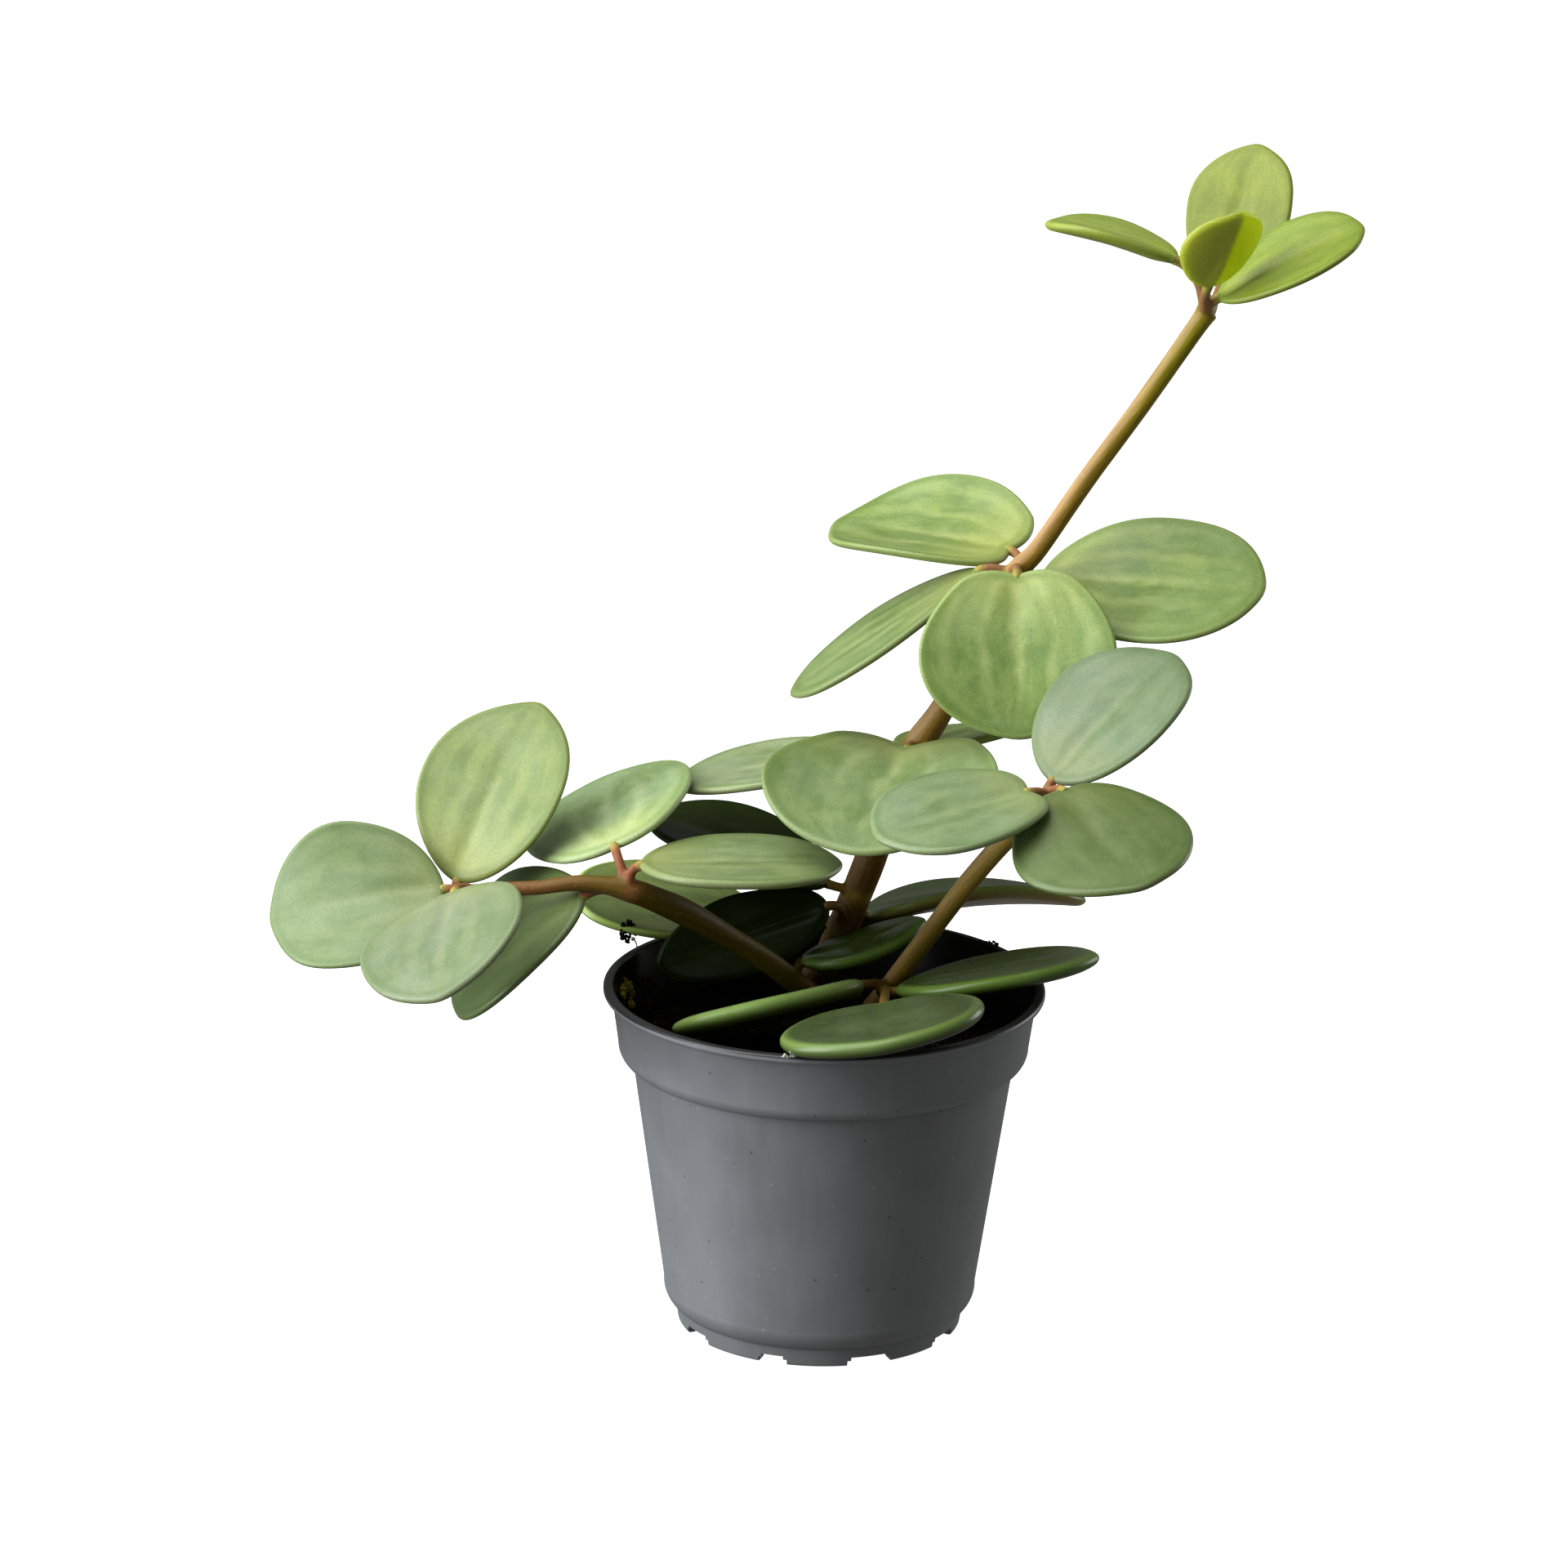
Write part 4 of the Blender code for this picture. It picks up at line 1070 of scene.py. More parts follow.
    def build(self) -> bpy.types.Object:
        """Turn the wall, cut feet and drains, and dress it.

        Returns:
            The pot.
        """
        points: list[Place] = []
        faces: list[list[int]] = []
        rows: list[list[int]] = []
        for radius, height in self.outside() + self.inside():
            start = len(points)
            if radius == 0.0:
                points.append((0.0, 0.0, height))
                rows.append([start] * self.steps)
                continue
            for k in range(self.steps):
                angle = 2 * pi * k / self.steps
                points.append((radius * cos(angle), radius * sin(angle), height))
            rows.append(list(range(start, start + self.steps)))
        for low, high in zip(rows, rows[1:]):
            for k in range(self.steps):
                j = (k + 1) % self.steps
                face = list(dict.fromkeys((low[k], low[j], high[j], high[k])))
                faces.append(face)
        pot = piece_from("pot_shell", points, faces)
        outward(pot)
        tools = self.notches() + self.drains()
        for tool in tools:
            cut = pot.modifiers.new("Cut", "BOOLEAN")
            cut.operation, cut.solver, cut.object = "DIFFERENCE", "EXACT", tool
        baked_copy(pot)
        for tool in tools:
            bpy.data.objects.remove(tool, do_unlink=True)
        pot.data.shade_smooth()
        pot.data.set_sharp_from_angle(angle=radians(38))
        self.stain_and_painted_shade(pot)
        return wear(pot, self.finish.material("moulded_polypropylene_pot"), "grey_plastic", "pot")

    def stain_and_painted_shade(self, pot: bpy.types.Object) -> None:
        """Mark the inner wall and the top of the lip, which are painted almost black: stained by the wet
        peat, and painted shade for the shadow in the pot.

        Args:
            pot: The pot.
        """
        co = places(pot)
        radius = np.hypot(co[:, 0], co[:, 1])
        wall = np.interp(co[:, 2], [self.foot_height, self.collar_low, self.collar_low + 1.6, self.height],
                         [self.body_low, self.body_top, self.collar_low_radius, self.collar_top + 0.6])
        # What lies half a wall or more inside the outer face is on the inner one
        value = ((radius < wall - 0.55) & (co[:, 2] > self.foot_height + 1.0)).astype(float)
        # The lip's top is painted near black too, partly peat stain and partly painted shade
        top = (co[:, 2] > self.height - 0.3) & (value < 0.5)
        value[top] = 0.9
        store(pot, "stain_and_painted_shade", np.stack([value, value * 0, value * 0], 1))


@dataclass
class PeatBed:
    """The peat: one plug with a heaved and lumpy surface.

    Each lump lies anywhere within the bed, and its radius and its height are drawn between the two
    given ones. outline is the plug's side, as radius and height from the bottom up.
    """
    top: float = 39.8
    wave: float = 0.5
    radius: float = 26.2
    rings: int = 44
    steps: int = 144
    seed: int = 7
    lump_count: int = 420
    lump_radius: tuple[float, float] = (0.8, 2.6)
    lump_height: tuple[float, float] = (0.25, 1.0)
    crumbs_above: float = 38.5
    finish: PeatSkin = field(default_factory=PeatSkin)
    outline: tuple[tuple[float, float], ...] = ((17.5, 4.1), (19.9, 6.7), (24.4, 38.2), (26.2, 39.8))

    def height(self, x: float, y: float) -> float:
        """The soft heave of the surface, as in the part's source."""
        return self.top + self.wave * (sin(x * 0.31 + 0.6) + cos(y * 0.27 - 0.4)) * 0.5

    def build(self) -> bpy.types.Object:
        """Make the plug and its lumpy surface, and dress it.

        Returns:
            The bed.
        """
        rng = np.random.default_rng(self.seed)
        least = (-self.radius, -self.radius, self.lump_radius[0], self.lump_height[0])
        most = (self.radius, self.radius, self.lump_radius[1], self.lump_height[1])
        lumps = rng.uniform(least, most, (self.lump_count, 4))
        points: list[Place] = [(0.0, 0.0, self.outline[0][1])]
        faces: list[Sequence[int]] = []
        rows = []
        levels = [(r, z, False) for r, z in self.outline]
        levels += [(self.radius * (1 - i / self.rings), 0.0, True) for i in range(1, self.rings)]
        for radius, z, surface in levels:
            rows.append(len(points))
            for k in range(self.steps):
                angle = 2 * pi * k / self.steps
                x, y = radius * cos(angle), radius * sin(angle)
                height = self.height(x, y) + self.lump(lumps, x, y) if surface else z
                points.append((x, y, height))
        middle = len(points)
        points.append((0.0, 0.0, self.height(0.0, 0.0)))
        for low, high in zip(rows, rows[1:]):
            for k in range(self.steps):
                j = (k + 1) % self.steps
                faces.append((low + k, low + j, high + j, high + k))
        for k in range(self.steps):
            j = (k + 1) % self.steps
            faces.append((0, rows[0] + j, rows[0] + k))
            faces.append((middle, rows[-1] + k, rows[-1] + j))
        bed = piece_from("peat_bed", points, faces)
        outward(bed)
        bed.data.shade_smooth()
        return wear(bed, self.finish.material("milled_peat"), "peat", "soil")

    @staticmethod
    def lump(lumps: np.ndarray, x: float, y: float) -> float:
        """Work out how much the lumps raise the surface, kept low so that it stays in the pot.

        Args:
            lumps: One row of x, y, radius and height for each lump.
            x: The place.
            y: The place.

        Returns:
            The rise.
        """
        away = np.hypot(lumps[:, 0] - x, lumps[:, 1] - y) / lumps[:, 2]
        near = away < 1
        return float((lumps[near, 3] * (1 - away[near] ** 2) ** 1.5 * 0.6).max(initial=0.0) - 0.25)

    def ground(self, bed: bpy.types.Object) -> bpy.types.Object:
        """Copy the bed's surface, for strewing over only.

        Args:
            bed: The finished bed.

        Returns:
            The copy, without the plug's sides and bottom.
        """
        ground = bpy.data.objects.new("crumb_ground", bed.data.copy())
        bpy.context.scene.collection.objects.link(ground)
        bm = bmesh.new()
        bm.from_mesh(ground.data)
        low = [f for f in bm.faces if f.normal.z < 0.3 or f.calc_center_median().z < self.crumbs_above * MM]
        bmesh.ops.delete(bm, geom=low, context="FACES")
        bm.to_mesh(ground.data)
        bm.free()
        return ground


@dataclass(frozen=True)
class Strewn:
    """Grains strewn over a surface by Geometry Nodes, turned into one plain mesh.

    size is about the largest grain's half width in millimetres, squash its flatness, and density how
    many grains a square metre gets.
    """
    name: str
    size: float
    density: float
    seed: int
    squash: float = 0.6

    def tree(self, material: bpy.types.Material) -> bpy.types.NodeTree:
        """Build the tree that strews the grains.

        Args:
            material: What the grains are made of.

        Returns:
            The tree, with inputs for its density, size, squash and seed.
        """
        tree = bpy.data.node_groups.new(self.name, "GeometryNodeTree")
        face = tree.interface
        face.new_socket("Geometry", in_out="INPUT", socket_type="NodeSocketGeometry")
        for label, kind in (("Density", "NodeSocketFloat"), ("Size", "NodeSocketFloat"),
                            ("Squash", "NodeSocketFloat"), ("Seed", "NodeSocketInt")):
            face.new_socket(label, in_out="INPUT", socket_type=kind)
        face.new_socket("Geometry", in_out="OUTPUT", socket_type="NodeSocketGeometry")
        given = add_node(tree, "NodeGroupInput").outputs
        spots = add_node(tree, "GeometryNodeDistributePointsOnFaces", {},
                         {"Mesh": given["Geometry"], "Density": given["Density"], "Seed": given["Seed"]})
        ball = add_node(tree, "GeometryNodeMeshIcoSphere", {}, {"Radius": 1.0, "Subdivisions": 1})
        rough = add_node(tree, "ShaderNodeTexNoise", {}, {"Scale": 1.3, "Detail": 1.0})
        push = add_node(tree, "ShaderNodeVectorMath", {"operation": "SUBTRACT"},
                        {0: rough.outputs["Color"], 1: (0.5, 0.5, 0.5)})
        lumpy = add_node(tree, "GeometryNodeSetPosition", {},
                         {"Geometry": ball.outputs["Mesh"], "Offset": push.outputs[0]})
        turn = add_node(tree, "FunctionNodeRandomValue", {"data_type": "FLOAT_VECTOR"},
                        {0: (0.0, 0.0, 0.0), 1: (6.28, 6.28, 6.28), "Seed": given["Seed"]})
        low = add_node(tree, "ShaderNodeCombineXYZ", {}, {0: 0.35, 1: 0.35, 2: 0.25})
        high = add_node(tree, "ShaderNodeCombineXYZ", {}, {0: 1.0, 1: 1.0, 2: given["Squash"]})
        stretch = add_node(tree, "FunctionNodeRandomValue", {"data_type": "FLOAT_VECTOR"},
                           {0: low.outputs[0], 1: high.outputs[0], "Seed": given["Seed"]})
        scale = add_node(tree, "ShaderNodeVectorMath", {"operation": "SCALE"},
                         {0: stretch.outputs[0], "Scale": given["Size"]})
        strewn = add_node(tree, "GeometryNodeInstanceOnPoints", {},
                          {"Points": spots.outputs["Points"], "Instance": lumpy.outputs[0],
                           "Rotation": turn.outputs[0], "Scale": scale.outputs[0]})
        whole = add_node(tree, "GeometryNodeRealizeInstances", {}, {"Geometry": strewn.outputs[0]})
        dressed = add_node(tree, "GeometryNodeSetMaterial", {},
                           {"Geometry": whole.outputs[0], "Material": material})
        add_node(tree, "NodeGroupOutput", {}, {"Geometry": dressed.outputs[0]})
        return tree

    def build(self, ground: bpy.types.Object, material: bpy.types.Material,
              slot: str | None) -> bpy.types.Object:
        """Strew the grains over a ground mesh.

        Args:
            ground: An object with the mesh to strew over, which becomes the grains.
            material: What the grains are made of.
            slot: The record's material slot, or None.

        Returns:
            The grains as one plain piece.
        """
        tree = self.tree(material)
        ground.name = self.name
        modifier = ground.modifiers.new("Strew", "NODES")
        modifier.node_group = tree
        values = {"Density": self.density, "Size": self.size * MM, "Squash": self.squash, "Seed": self.seed}
        for item in tree.interface.items_tree:
            if item.in_out == "INPUT" and item.name in values:
                modifier[item.identifier] = values[item.name]
        baked_copy(ground)
        return wear(ground, material, slot)


@dataclass(frozen=True)
class Patch:
    """A small oval spot that litter clings to: its middle, the way it faces, and its two radii."""
    centre: Place
    facing: Place
    wide: float
    high: float
    corners: int = 16

    def build(self, name: str) -> bpy.types.Object:
        """Make the spot's mesh, for strewing over only.

        Args:
            name: The mesh's name.

        Returns:
            The spot.
        """
        facing = Vector(self.facing).normalized()
        side = facing.cross(Vector((0, 0, 1))).normalized()
        up = side.cross(facing)
        angles = [2 * pi * k / self.corners for k in range(self.corners)]
        points = [Vector(self.centre) + side * self.wide * cos(a) + up * self.high * sin(a) for a in angles]
        return piece_from(name, [tuple(p) for p in points], [list(range(self.corners))])


@dataclass(frozen=True)
class BareRoot:
    """A thin bent root that hangs from the soil."""
    route: Route

    def build(self, finish: bpy.types.Material) -> bpy.types.Object:
        """Make the root and dress it.

        Args:
            finish: Its material.

        Returns:
            The root.
        """
        points: list = []
        faces: list = []
        add_tube(points, faces, smooth_route(self.route, 6), 6)
        root = piece_from("hanging_root", points, faces)
        outward(root)
        root.data.shade_smooth()
        return wear(root, finish, None)


@dataclass
class Litter:
    """What watering and handling have left: moss, soil, a hanging clod with its root, torn flesh."""
    moss: tuple[tuple[Strewn, Patch], ...] = (
        (Strewn("wall_moss", 0.55, 4.0e6, 3, 1.0),
         Patch((-26.6, 7.0, 44.0), (1.0, -0.3, 0.3), 1.6, 2.2)),
        (Strewn("wall_moss_high", 0.45, 4.0e6, 4, 1.0),
         Patch((-27.3, 3.4, 45.4), (1.0, -0.1, 0.2), 1.2, 1.2)))
    soil: tuple[tuple[Strewn, Patch], ...] = (
        (Strewn("wall_soil", 0.7, 1.6e6, 5, 0.8),
         Patch((-24.4, 10.0, 42.8), (0.9, -0.4, 0.2), 3.6, 2.4)),
        (Strewn("far_wall_soil", 0.7, 1.2e6, 6, 0.8),
         Patch((18.2, 18.8, 43.0), (-0.7, -0.7, 0.2), 2.8, 2.0)),
        (Strewn("rim_soil", 0.5, 4.0e6, 7, 0.8),
         Patch((22.6, 17.6, 48.2), (-0.5, -0.4, 1.0), 2.0, 0.7)),
        (Strewn("hanging_soil", 0.5, 9.0e6, 8, 0.8),
         Patch((-27.0, 15.4, 49.9), (0.2, -1.0, 0.1), 1.0, 1.9)),
        (Strewn("scrap_soil", 0.4, 8.0e6, 9, 0.8),
         Patch((-0.4, 13.6, 52.0), (0.0, -1.0, 0.2), 0.5, 1.4)))
    flesh: tuple[tuple[Strewn, Patch], ...] = (
        (Strewn("torn_flesh", 0.3, 2.6e7, 12),
         Patch((-4.5, -31.0, 48.8), (0.4, -1.0, 0.4), 1.2, 0.3)),)
    root: BareRoot = BareRoot(((-26.4, 14.8, 49.4, 0.14), (-25.8, 14.4, 48.4, 0.11), (-25.9, 14.5, 47.0, 0.1),
                               (-26.6, 14.6, 45.6, 0.08), (-26.2, 14.4, 44.6, 0.06)))

    def build(self, peat: bpy.types.Material) -> None:
        """Strew every spot, and hang the root.

        Args:
            peat: The material of the soil's crumbs.
        """
        moss = MossSkin().material("wet_moss")
        flesh = MossSkin("#b9bfa4", "#e4e8d4").material("torn_leaf_flesh")
        for finish, slot, spots in ((moss, None, self.moss), (peat, "peat", self.soil),
                                    (flesh, None, self.flesh)):
            for grains, patch in spots:
                grains.build(patch.build(grains.name), finish, slot)
        self.root.build(MossSkin("#8a6a48", "#b08a60").material("dry_root"))


@dataclass
class GrownStem:
    """A stem and its leaf stalks, grown together into one skin.

    sink is how far the stem goes on under its first point, into_blade how far a stalk runs into its
    blade, and bow how much of a stalk's length it bends over, as a share.
    """
    line: StemLine
    leaves: list[Leaf]
    voxel: float = 0.25
    sink: float = 7.0
    stalk_radius: float = 0.72
    stalk_steps: int = 18
    into_blade: float = 0.7
    bow: float = 0.4
    stalk_skin: float = 0.45
    scar_length: float = 0.9
    scar_depth: float = 0.75
    ribs_per_mm: float = 2.2
    rib_length: float = 6.0

    def stem_route(self) -> np.ndarray:
        """Work out the stem's fine centre line, from inside the soil.

        Returns:
            One row of x, y, z and radius for each point.
        """
        x, y, z, radius = self.line.route[0]
        route = smooth_route(self.line.route, 14)
        return np.vstack([[(x, y, z - self.sink, radius)], route])

    def stalk_routes(self) -> list[np.ndarray]:
        """Work out each leaf stalk's fine centre line, from the stem's heart into its blade.

        Returns:
            For each stalk, one row of x, y, z and radius for each point.
        """
        routes = []
        for leaf in self.leaves:
            start = np.array(self.line.route[leaf.at][:3])
            base = np.array(leaf.base)
            forward = leaf_forward(leaf)
            end = base + forward * self.into_blade
            bend = base - forward * np.linalg.norm(base - start) * self.bow
            rows = []
            for i in range(self.stalk_steps + 1):
                t = i / self.stalk_steps
                place = (1 - t) ** 2 * start + 2 * t * (1 - t) * bend + t * t * end
                # A stalk is thicker where it leaves the stem, and a little so where it meets its blade
                swell = 0.5 * exp(-((t - 0.1) / 0.16) ** 2) + 0.1 * exp(-((t - 0.92) / 0.12) ** 2)
                rows.append((*place, self.stalk_radius * (0.95 + swell)))
            routes.append(np.array(rows))
        return routes

    def build(self) -> bpy.types.Object:
        """Grow the tubes together, mark them for the bark, and dress them.

        Returns:
            The stem with its stalks.
        """
        points: list = []
        faces: list = []
        stem, stalks = self.stem_route(), self.stalk_routes()
        add_tube(points, faces, stem, 28)
        for route in stalks:
            add_tube(points, faces, route, 16)
        skin = piece_from(self.line.name + "_bark", points, faces)
        knit = skin.modifiers.new("Knit", "REMESH")
        knit.mode, knit.voxel_size, knit.adaptivity = "VOXEL", self.voxel * MM, 0.0
        soften = skin.modifiers.new("Soften", "SMOOTH")
        soften.factor, soften.iterations = 0.5, 6
        baked_copy(skin)
        skin.data.shade_smooth()
        self.mark(skin, stem, stalks)
        finish = BARKS[self.line.name].material(self.line.name + "_young_bark")
        return wear(skin, finish, self.line.slot, self.line.name)

    @staticmethod
    def blush(leaf: Leaf) -> float:
        """How far a leaf's stalk leaves the stem's brown: the old low leaves' ones hardly do."""
        return 0.1 if leaf.tone is Tone.DARK else 1.0

    def mark(self, skin: bpy.types.Object, stem: np.ndarray, stalks: list[np.ndarray]) -> None:
        """Store what the bark reads: how far each point has grown, how much painted light it gets, and where
        it lies in the ribs.

        growth is how far along the stem, how far out on a stalk and how near a node a point is,
        the painted light how much it faces the light, so how much paler it is painted, and bark where it lies
        in the ribs.

        Args:
            skin: The grown skin.
            stem: The stem's fine centre line.
            stalks: Those of its leaf stalks.
        """
        co = places(skin)
        run = np.concatenate([[0.0], np.cumsum(np.linalg.norm(np.diff(stem[:, :3], axis=0), axis=1))])
        closest_row, away = self.nearest(co, stem)
        place = run[closest_row]
        out = np.zeros(len(co))
        shaded = np.zeros(len(co), bool)
        for leaf, route in zip(self.leaves, stalks):
            closest, distance = self.nearest(co, route)
            here = (distance < self.stalk_skin) & (away > 0.05)
            share = 0.15 + 0.85 * closest / (len(route) - 1)
            value = np.clip(away / 0.8, 0, 1) * share * self.blush(leaf)
            out = np.where(here, np.maximum(out, value), out)
            shaded |= here & (leaf.tone is Tone.DARK)
        scar = np.zeros(len(co))
        for at in sorted({leaf.at for leaf in self.leaves}):
            node = np.array(self.line.route[at][:3])
            height = run[np.argmin(np.linalg.norm(stem[:, :3] - node, axis=1))]
            scar = np.maximum(scar, self.scar_depth * np.exp(-((place - height) / self.scar_length) ** 2))
        store(skin, "growth", np.stack([place / run[-1], out, scar * (1 - out)], 1))
        normal = np.empty(len(co) * 3)
        skin.data.vertices.foreach_get("normal", normal)
        normal = normal.reshape(-1, 3)
        # Painted light: the side that faces up and to the left, towards the window light, is painted paler,
        # and the stalks of the shaded low leaves get none
        lit_side = np.where(shaded, 0.0, np.clip(0.5 * normal[:, 2] - 0.9 * normal[:, 0] - 0.1, 0, 1))
        store(skin, "lit_side", np.stack([lit_side, lit_side * 0, lit_side * 0], 1))
        tangent = np.gradient(stem[:, :3], axis=0)[closest_row]
        tangent /= np.linalg.norm(tangent, axis=1, keepdims=True)
        offset = co - stem[closest_row, :3]
        offset -= tangent * np.sum(offset * tangent, axis=1, keepdims=True)
        store(skin, "bark", offset * self.ribs_per_mm + np.outer(place / self.rib_length, (0.3, 0.2, 1.0)))

    @staticmethod
    def nearest(co: np.ndarray, route: np.ndarray) -> tuple[np.ndarray, np.ndarray]:
        """Find the nearest route point, and how far outside the tube's radius each point lies.

        Args:
            co: The points.
            route: The tube's centre line with its radii.

        Returns:
            The number of the nearest route point, and the distance from the tube's surface.
        """
        gap = np.linalg.norm(co[:, None, :] - route[None, :, :3], axis=2) - route[None, :, 3]
        best = gap.argmin(axis=1)
        return best, gap[np.arange(len(co)), best]


# How thick the rim is as a share of the blade's middle: old leaves are the most even
RIM_SHARES = {Tone.BRIGHT: 0.6, Tone.FRESH: 0.68, Tone.BLUISH: 0.68, Tone.DARK: 0.92}


@dataclass
class Blade:
    """One thick blade: two faces with a rounded rim, a sunken midrib and a drawn-out tip.

    midrib and tip are their half widths as shares of the blade's width. bead is how much wider than
    thick the rounded rim is, and widest_bead the most that it takes of the way to the middle.
    """
    leaf: Leaf
    number: int
    sides: int = 96
    flat_rings: int = 9
    round_rings: int = 7
    midrib: float = 0.07
    tip: float = 0.13
    bead: float = 1.1
    widest_bead: float = 0.3

    def __post_init__(self) -> None:
        """Work out how wide the rounded rim is, and how far out each ring of points lies."""
        leaf = self.leaf
        self.rim_share = RIM_SHARES[leaf.tone]
        self.zone = min(self.widest_bead, leaf.thick * self.rim_share * self.bead / leaf.width)
        flat = [(1 - self.zone) * (k + 1) / self.flat_rings for k in range(self.flat_rings)]
        self.rings = flat + [1 - self.zone * (1 - sin(pi / 2 * (k + 1) / (self.round_rings + 1)))
                             for k in range(self.round_rings)]

    def half_width(self, share: float) -> float:
        """Work out half the blade's width, as in the part's source.

        Args:
            share: The share of the blade's length.

        Returns:
            Half the width there.
        """
        if share <= 0 or share >= 1:
            return 0.0
        leaf = self.leaf
        widest = leaf.taper / (leaf.taper + leaf.blunt)
        peak = widest ** leaf.taper * (1 - widest) ** leaf.blunt
        return leaf.width / 2 * share ** leaf.taper * (1 - share) ** leaf.blunt / peak

    def half_thick(self, size: float) -> float:
        """Work out half the blade's thickness.

        Args:
            size: The share of the way from the middle to the rim.

        Returns:
            Half the thickness there.
        """
        body = self.leaf.thick / 2 * (1 - (1 - self.rim_share) * size ** 3)
        edge = max(0.0, (size - 1 + self.zone) / self.zone)
        return body * sqrt(max(0.0, 1 - edge ** 2))

    def point(self, size: float, angle: float, face: int) -> tuple[Place, Place, Place]:
        """Work out one point of the blade.

        Args:
            size: Share of the way from the middle to the rim.
            angle: Where round the outline, 0 at the base and pi at the tip.
            face: 1 for the upper face, -1 for the lower.

        Returns:
            Its place in the blade's own axes, and the two attribute rows of the skin.
        """
        leaf = self.leaf
        share = (1 - cos(angle)) / 2
        side = 1 if sin(angle) >= 0 else -1
        inner = 0.5 + (share - 0.5) * size
        shoulder = min(1.0, self.half_width(share) / (leaf.width * 0.3)) * (1 - share) ** 4
        x = leaf.length * inner - leaf.lobe * shoulder * size
        y = side * self.half_width(share) * size
        x += leaf.point * exp(-((y / (self.tip * leaf.width)) ** 2)) * max(0.0, (inner - 0.8) / 0.2) ** 2
        # Each blade's outline wanders in its own way
        lot = self.number * 1.7
        uneven = leaf.wobble * (sin(3 * angle + lot) + 0.6 * sin(5 * angle + 2.3 * lot)) * size ** 2
        y += uneven * sin(angle) ** 2
        # The midrib starts a little way from the stalk, and runs out towards the tip
        sunken = exp(-((y / (self.midrib * leaf.width)) ** 2)) * (1 - inner) ** 0.8 * min(1.0, inner * 6)
        curve = leaf.cup * 2 * y * y / leaf.width + leaf.arch * leaf.length * 4 * inner * (1 - inner)
        z = curve - leaf.crease * sunken + face * self.half_thick(size)
        reach = max(self.half_width(inner), 0.35)
        under = 0.5 - 0.5 * face * min(1.0, self.half_thick(size) / leaf.thick * 3)
        return (x, y, z), (inner, y, reach), (size, under, (self.number % 7) / 7)

    def build(self) -> bpy.types.Object:
        """Make the blade in its place and dress it.

        Returns:
            The blade.
        """
        rows: list[tuple[Place, Place, Place]] = []
        faces: list[Sequence[int]] = []
        angles = [2 * pi * k / self.sides for k in range(self.sides)]
        starts = {}
        for face in (1, -1):
            centre = len(rows)
            rows.append(self.point(0.0, 0.0, face))
            for number, size in enumerate(self.rings):
                starts[face, number] = len(rows)
                rows += [self.point(size, a, face) for a in angles]
            for k in range(self.sides):
                j = (k + 1) % self.sides
                ring = starts[face, 0]
                faces.append((centre, ring + k, ring + j)[::face])
                for number in range(len(self.rings) - 1):
                    low, high = starts[face, number], starts[face, number + 1]
                    faces.append((low + k, high + k, high + j, low + j)[::face])
        rim = len(rows)
        rows += [self.point(1.0, a, 1) for a in angles]
        last = len(self.rings) - 1
        for k in range(self.sides):
            j = (k + 1) % self.sides
            top, low = starts[1, last], starts[-1, last]
            faces.append((top + k, rim + k, rim + j, top + j))
            faces.append((low + j, rim + j, rim + k, low + k))
        leaf = self.leaf
        turn = Euler((radians(leaf.roll), -radians(leaf.rise), radians(leaf.heading))).to_matrix()
        local = np.array([r[0] for r in rows])
        placed = local @ np.array(turn).T + np.array(leaf.base)
        blade = piece_from(leaf.name.replace("_leaf", "_blade"), placed, faces)
        store(blade, "blade", np.array([r[1] for r in rows]))
        store(blade, "edge", np.array([r[2] for r in rows]))
        blade.data.shade_smooth()
        skin = replace(SKINS[leaf.tone], **SKIN_CHANGES.get(leaf.name, {}))
        return wear(blade, skin.material(leaf.name.replace("_leaf", "_skin")), leaf.tone.value, leaf.name)


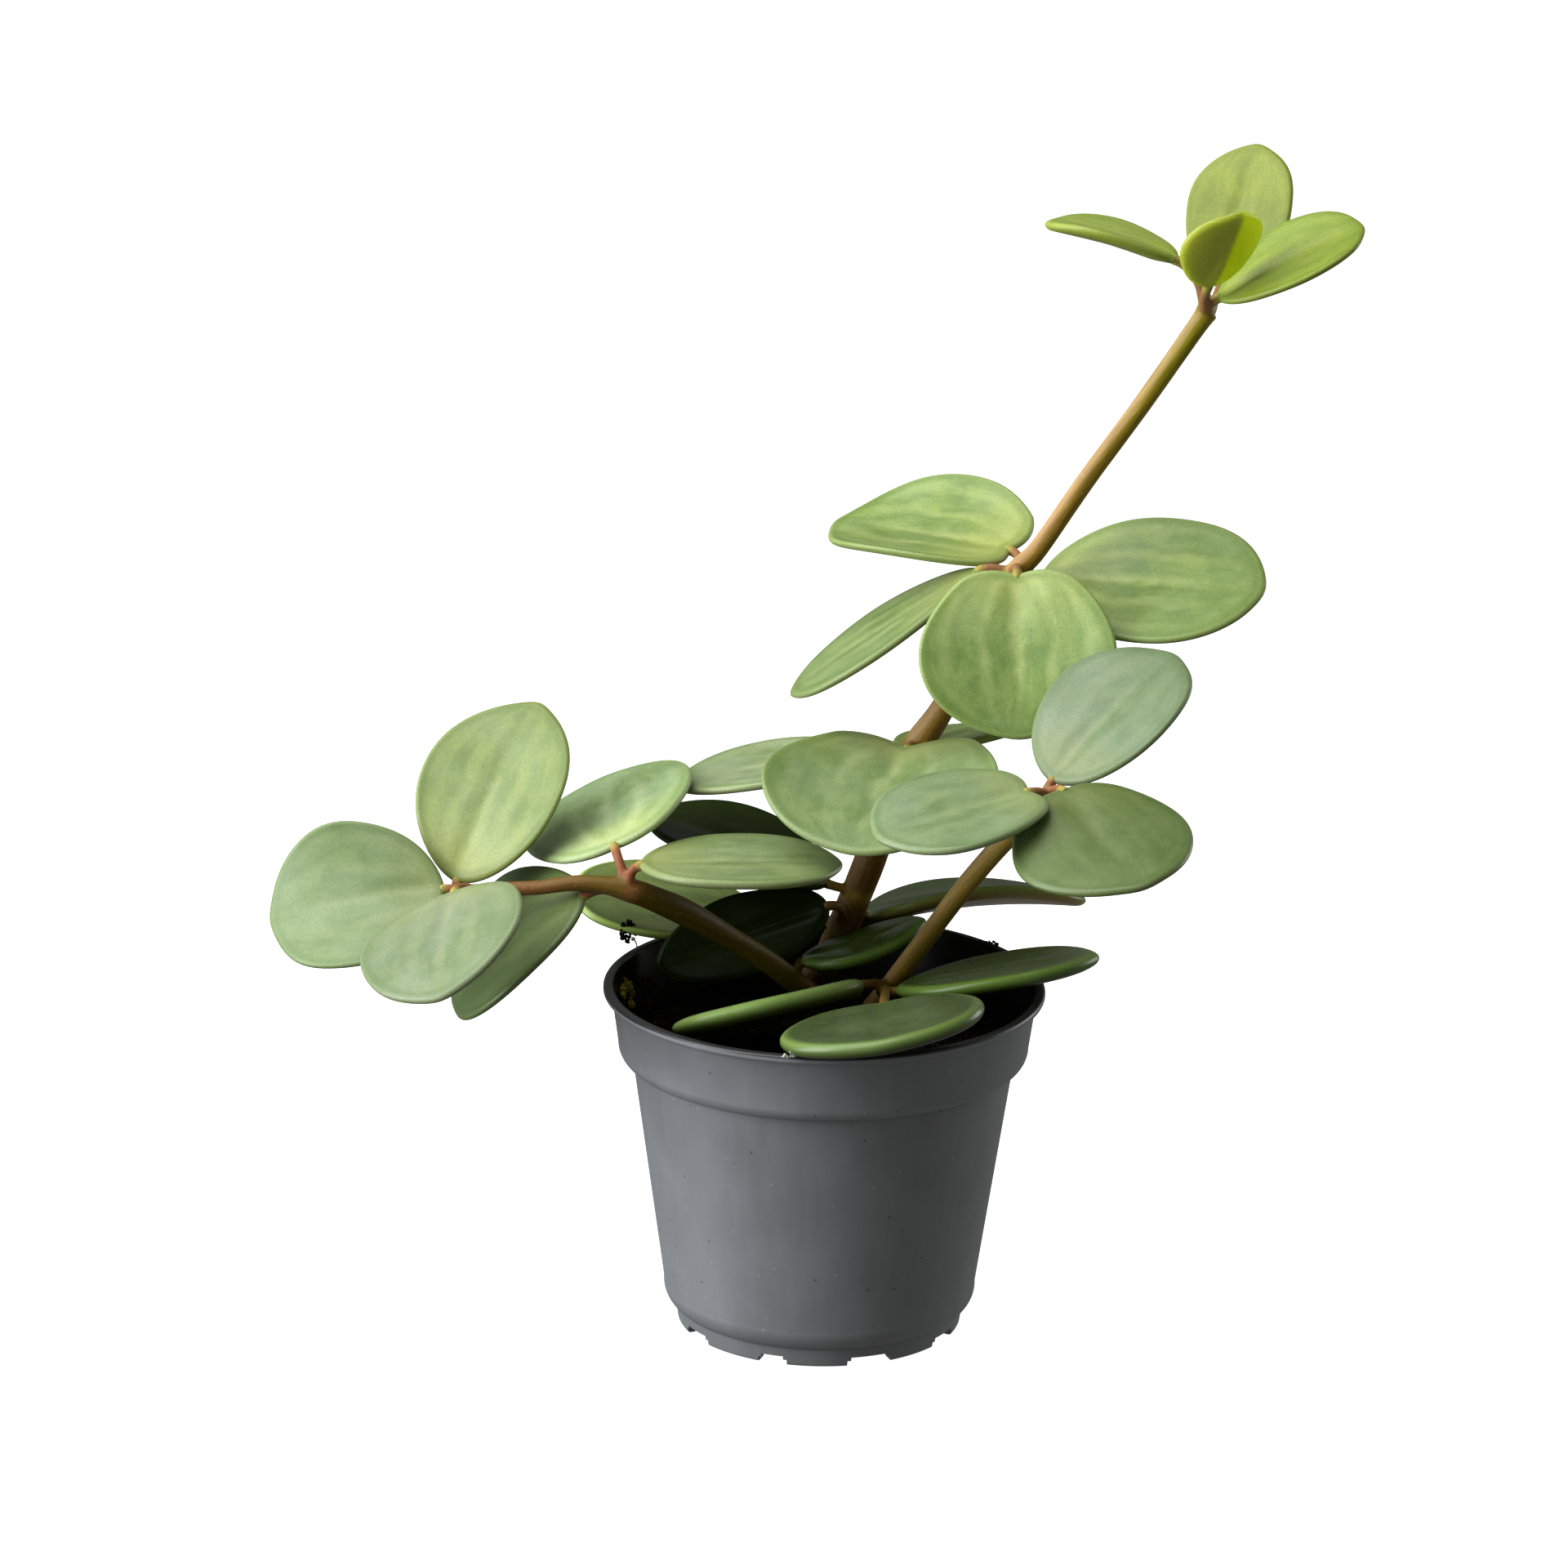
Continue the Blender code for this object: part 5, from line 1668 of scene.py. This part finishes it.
# Studio
@dataclass
class Studio:
    """Pale floor, soft window light from the left, and the camera of the photograph."""
    distance: float = 1000.0
    elevation: float = 17.4
    roll: float = 0.87
    lens: float = 170.72
    target: Place = (-3.59, 1.0, 76.9)

    def camera(self) -> None:
        """Place the camera where the photograph was taken from."""
        data = bpy.data.cameras.new("photo_camera")
        data.lens, data.sensor_width, data.sensor_fit = self.lens, 36.0, "HORIZONTAL"
        data.clip_start, data.clip_end = 0.05, 20.0
        camera = bpy.data.objects.new("photo_camera", data)
        bpy.context.scene.collection.objects.link(camera)
        tilt, roll = radians(self.elevation), radians(self.roll)
        forward = Vector((0, cos(tilt), -sin(tilt)))
        right, up = Vector((1, 0, 0)), Vector((0, sin(tilt), cos(tilt)))
        turned_right = right * cos(roll) + up * sin(roll)
        turned_up = -right * sin(roll) + up * cos(roll)
        matrix = Matrix((turned_right, turned_up, -forward)).transposed().to_4x4()
        matrix.translation = (Vector(self.target) - forward * self.distance) * MM
        camera.matrix_world = matrix
        bpy.context.scene.camera = camera

    def light(self, name: str, place: Place, size: float, power: float, colour: str,
              aim: Place = (0.0, 0.0, 75.0)) -> None:
        """Hang one soft square light.

        Args:
            name: The light's name.
            place: Where it hangs, in millimetres.
            size: Its side, in millimetres.
            power: Its power in watts.
            colour: Its hex colour.
            aim: What it faces, in millimetres.
        """
        data = bpy.data.lights.new(name, "AREA")
        data.shape, data.size, data.energy = "SQUARE", size * MM, power
        data.color = linear(colour)[:3]
        lamp = bpy.data.objects.new(name, data)
        bpy.context.scene.collection.objects.link(lamp)
        lamp.location = Vector(place) * MM
        lamp.rotation_euler = (Vector(aim) * MM - lamp.location).to_track_quat("-Z", "Y").to_euler()

    def floor(self) -> None:
        """Lay the paper floor, which lights nothing itself, so that the shaded sides stay deep."""
        side = 6000.0 * MM
        mesh = bpy.data.meshes.new("floor")
        mesh.from_pydata([(-side, -side, 0), (side, -side, 0), (side, side, 0), (-side, side, 0)], [],
                         [(0, 1, 2, 3)])
        floor = bpy.data.objects.new("floor", mesh)
        bpy.context.scene.collection.objects.link(floor)
        floor.visible_diffuse = floor.visible_glossy = False
        paper, _, shader = new_material("matte_white_paper")
        shader.inputs["Base Color"].default_value = linear("#c0c0c0")
        shader.inputs["Roughness"].default_value = 0.9
        shader.inputs["Specular IOR Level"].default_value = 0.0
        shader.inputs["Emission Color"].default_value = (1, 1, 1, 1)
        shader.inputs["Emission Strength"].default_value = 1.0
        mesh.materials.append(paper)

    def build(self) -> None:
        """Set out the floor, the lights and the world."""
        self.floor()
        world = bpy.data.worlds.new("studio")
        world.use_nodes = True
        sky = world.node_tree.nodes["Background"]
        sky.inputs["Color"].default_value = linear("#fbfaf8")
        sky.inputs["Strength"].default_value = 0.2
        bpy.context.scene.world = world
        self.light("ceiling", (-250.0, -60.0, 560.0), 600.0, 4.2, "#fbfbff")
        self.light("window", (-560.0, -190.0, 230.0), 420.0, 4.6, "#f4f7ff", (0.0, 0.0, 45.0))
        self.light("left_card", (-420.0, -40.0, 20.0), 200.0, 0.5, "#e8efff", (0.0, 0.0, 20.0))
        self.light("right_card", (420.0, 260.0, 120.0), 260.0, 0.7, "#ffffff", (0.0, 0.0, 40.0))
        bpy.context.scene.view_settings.view_transform = "Standard"
        bpy.context.scene.view_settings.look = "None"
        self.camera()


def main() -> None:
    """Build every piece in order."""
    logging.basicConfig(level=logging.INFO, format="%(name)s %(message)s")
    NurseryPot().build()
    bed = PeatBed()
    soil = bed.build()
    peat = soil.data.materials[0]
    Strewn("peat_crumbs", 0.8, 9.0e5, 11).build(bed.ground(soil), peat, "peat")
    Litter().build(peat)
    for line in STEMS:
        GrownStem(line, [leaf for leaf in LEAVES if leaf.stem == line.name]).build()
    for number, leaf in enumerate(LEAVES):
        Blade(leaf, number).build()
    Studio().build()


if __name__ == "__main__":
    main()
